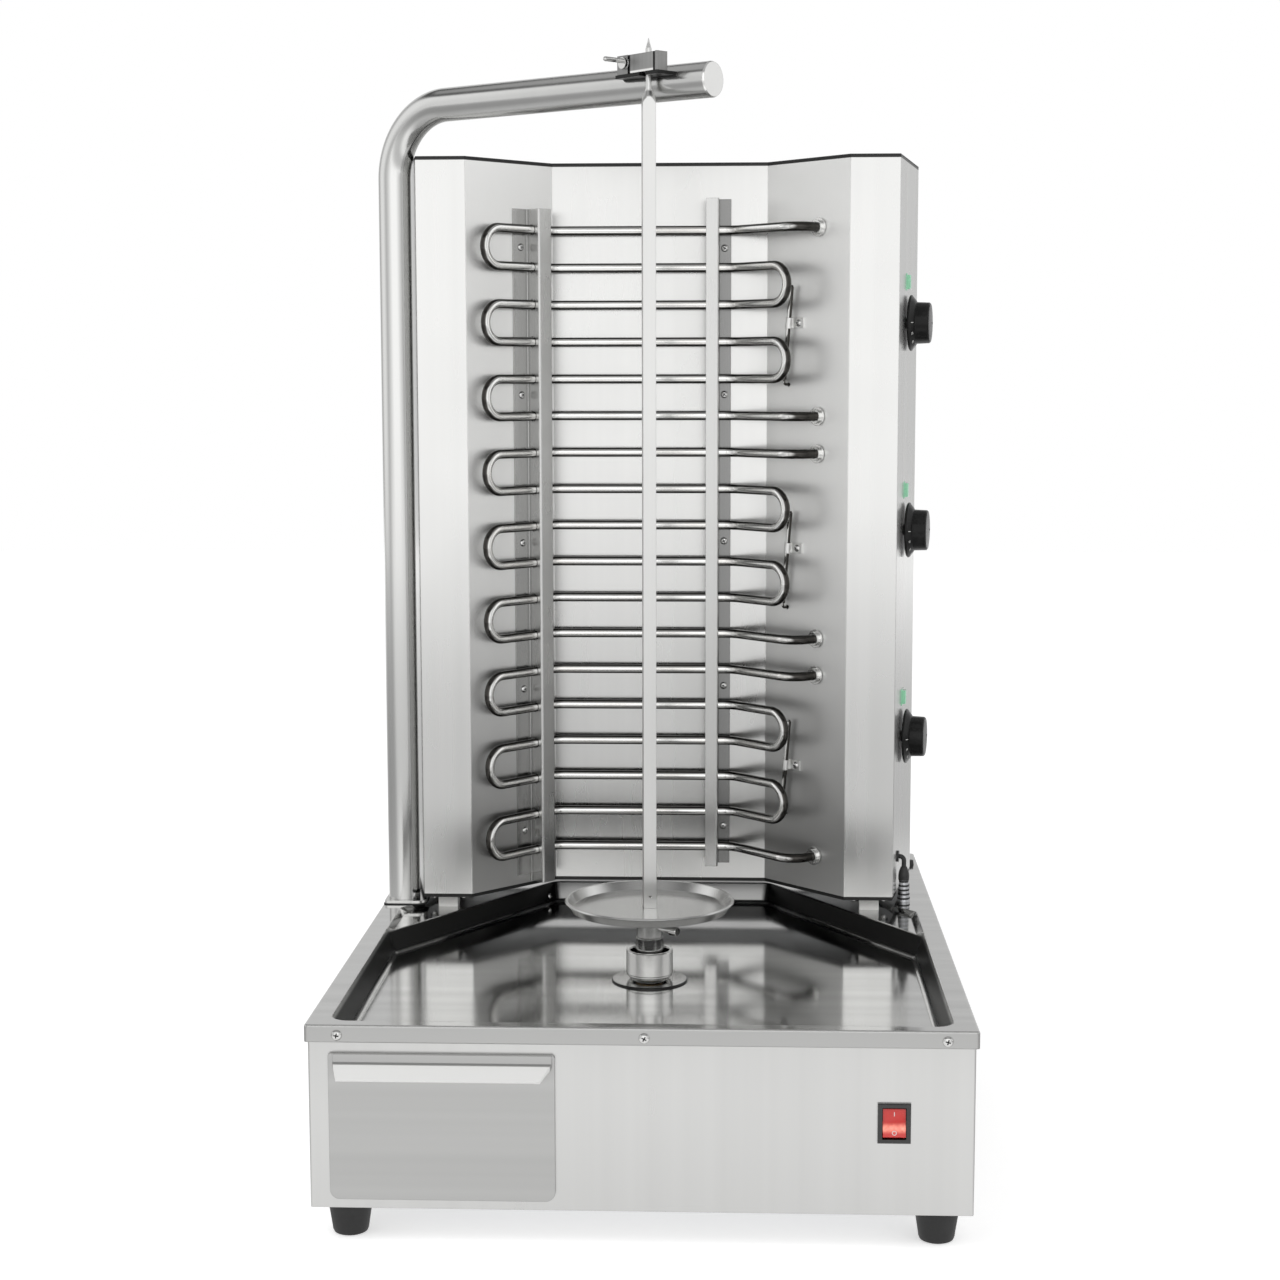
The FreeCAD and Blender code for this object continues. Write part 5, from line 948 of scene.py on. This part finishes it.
# ---- Studio -------------------------------------------------------------------------------------
RING_STOPS = ((0.0, 1.45), (0.1, 1.45), (0.17, 1.15), (0.25, 0.85), (0.34, 0.65), (0.45, 1.1), (0.58, 1.1),
              (0.72, 0.5), (0.82, 0.8), (0.9, 0.8), (1.0, 0.6))
HEIGHT_STOPS = ((0.0, 1.0), (0.56, 1.0), (0.65, 0.1), (0.71, 0.1), (0.78, 0.0), (1.0, 0.0))
CEILING, DAYLIGHT = 0.5, 0.62
FLOOR_STOPS = ((0.0, 0.75), (0.08, 0.95), (0.13, 1.1), (0.18, 0.75), (0.22, 0.55), (0.42, 0.62), (0.7, 1.0),
               (1.0, 1.35))
FLOOR_SIDES, FLOOR_LIFT, FLOOR_HALF = 0.45, 0.5, 6.0
KEY_WATTS, FILL_WATTS = 22, 10
LAMP_TARGET = (0, 0, 0.4)


def studio_world():
    """White to the eye; gloss finds a bright wall ahead, paler sides, a dark eave and a grey ceiling."""
    world = bpy.data.worlds.new("studio")
    bpy.context.scene.world = world
    world.use_nodes = True
    tree = world.node_tree
    background = tree.nodes["Background"]
    x, y, z = parts_of(tree, add(tree, "ShaderNodeTexCoord").outputs["Generated"])
    around = maths(tree, "ABSOLUTE", maths(tree, "ARCTAN2", x, maths(tree, "MULTIPLY", y, -1.0)))
    ring = graded(tree, maths(tree, "DIVIDE", around, math.pi), RING_STOPS, 1.5)
    height = graded(tree, z, HEIGHT_STOPS, 1.0)
    ceiling = ranged(tree, z, 0.69, 0.78, 0.0, CEILING, smooth=True)
    in_gloss = maths(tree, "ADD", maths(tree, "MULTIPLY", ring, height), ceiling)
    rays = add(tree, "ShaderNodeLightPath")
    glossy = maths(tree, "MAXIMUM", rays.outputs["Is Glossy Ray"], rays.outputs["Is Transmission Ray"])
    lit = mixed(tree, glossy, grey(DAYLIGHT, 1.0), in_gloss)
    tree.links.new(mixed(tree, rays.outputs["Is Camera Ray"], lit, (1, 1, 1, 1)), background.inputs["Color"])


def soft_lamp(name, place, size, watts):
    lamp = bpy.data.lights.new(name, "AREA")
    lamp.shape = "RECTANGLE"
    lamp.size = lamp.size_y = size
    lamp.energy = watts
    thing = bpy.data.objects.new(name, lamp)
    aim = Vector(LAMP_TARGET) - Vector(place)
    thing.matrix_world = Matrix.Translation(place) @ aim.to_track_quat("-Z", "Y").to_matrix().to_4x4()
    thing.visible_glossy = False
    bpy.context.scene.collection.objects.link(thing)


def floor_material():
    """White paper that keeps a soft shadow; gloss finds it banded with distance and darker at the sides."""
    material, tree, shader, coordinates = new_material("floor_paper")
    tooth = add(tree, "ShaderNodeTexNoise", Vector=coordinates, Scale=60.0, Detail=4.0)
    paper = mixed(tree, tooth.outputs[0], (0.86, 0.86, 0.86, 1), (0.9, 0.9, 0.9, 1))
    away = vectors(tree, "LENGTH", coordinates).outputs["Value"]
    bands = graded(tree, maths(tree, "DIVIDE", away, FLOOR_HALF), FLOOR_STOPS, 1.5)
    beside = maths(tree, "DIVIDE", maths(tree, "ABSOLUTE", parts_of(tree, coordinates)[0]), away)
    bands = maths(tree, "MULTIPLY", bands, ranged(tree, beside, 0.6, 0.95, 1.0, FLOOR_SIDES, smooth=True))
    rays = add(tree, "ShaderNodeLightPath")
    mirrored = maths(tree, "MAXIMUM", rays.outputs["Is Transmission Ray"], rays.outputs["Is Glossy Ray"])
    lift = mixed(tree, rays.outputs["Is Camera Ray"], BLACK, grey(FLOOR_LIFT, 1.0))
    feed(tree, shader, {
        "Base Color": mixed(tree, mirrored, paper, grey(0.2, 1.0)), "Roughness": 1.0,
        "Specular IOR Level": 0.0, "Emission Color": mixed(tree, mirrored, lift, bands),
        "Emission Strength": 1.0})
    return material


def lay_floor():
    mesh = bpy.data.meshes.new("floor")
    corners = [(x * FLOOR_HALF, y * FLOOR_HALF, 0) for x, y in ((-1, -1), (1, -1), (1, 1), (-1, 1))]
    mesh.from_pydata(corners, [], [(0, 1, 2, 3)])
    floor = new_object("floor", mesh)
    finish(floor, floor_material())


place_camera()
studio_world()
lay_floor()
soft_lamp("key", (-1.2, -1.6, 2.2), 1.4, KEY_WATTS)
soft_lamp("fill", (1.8, -1.4, 1.4), 1.6, FILL_WATTS)

bpy.context.scene.view_settings.view_transform = "Standard"
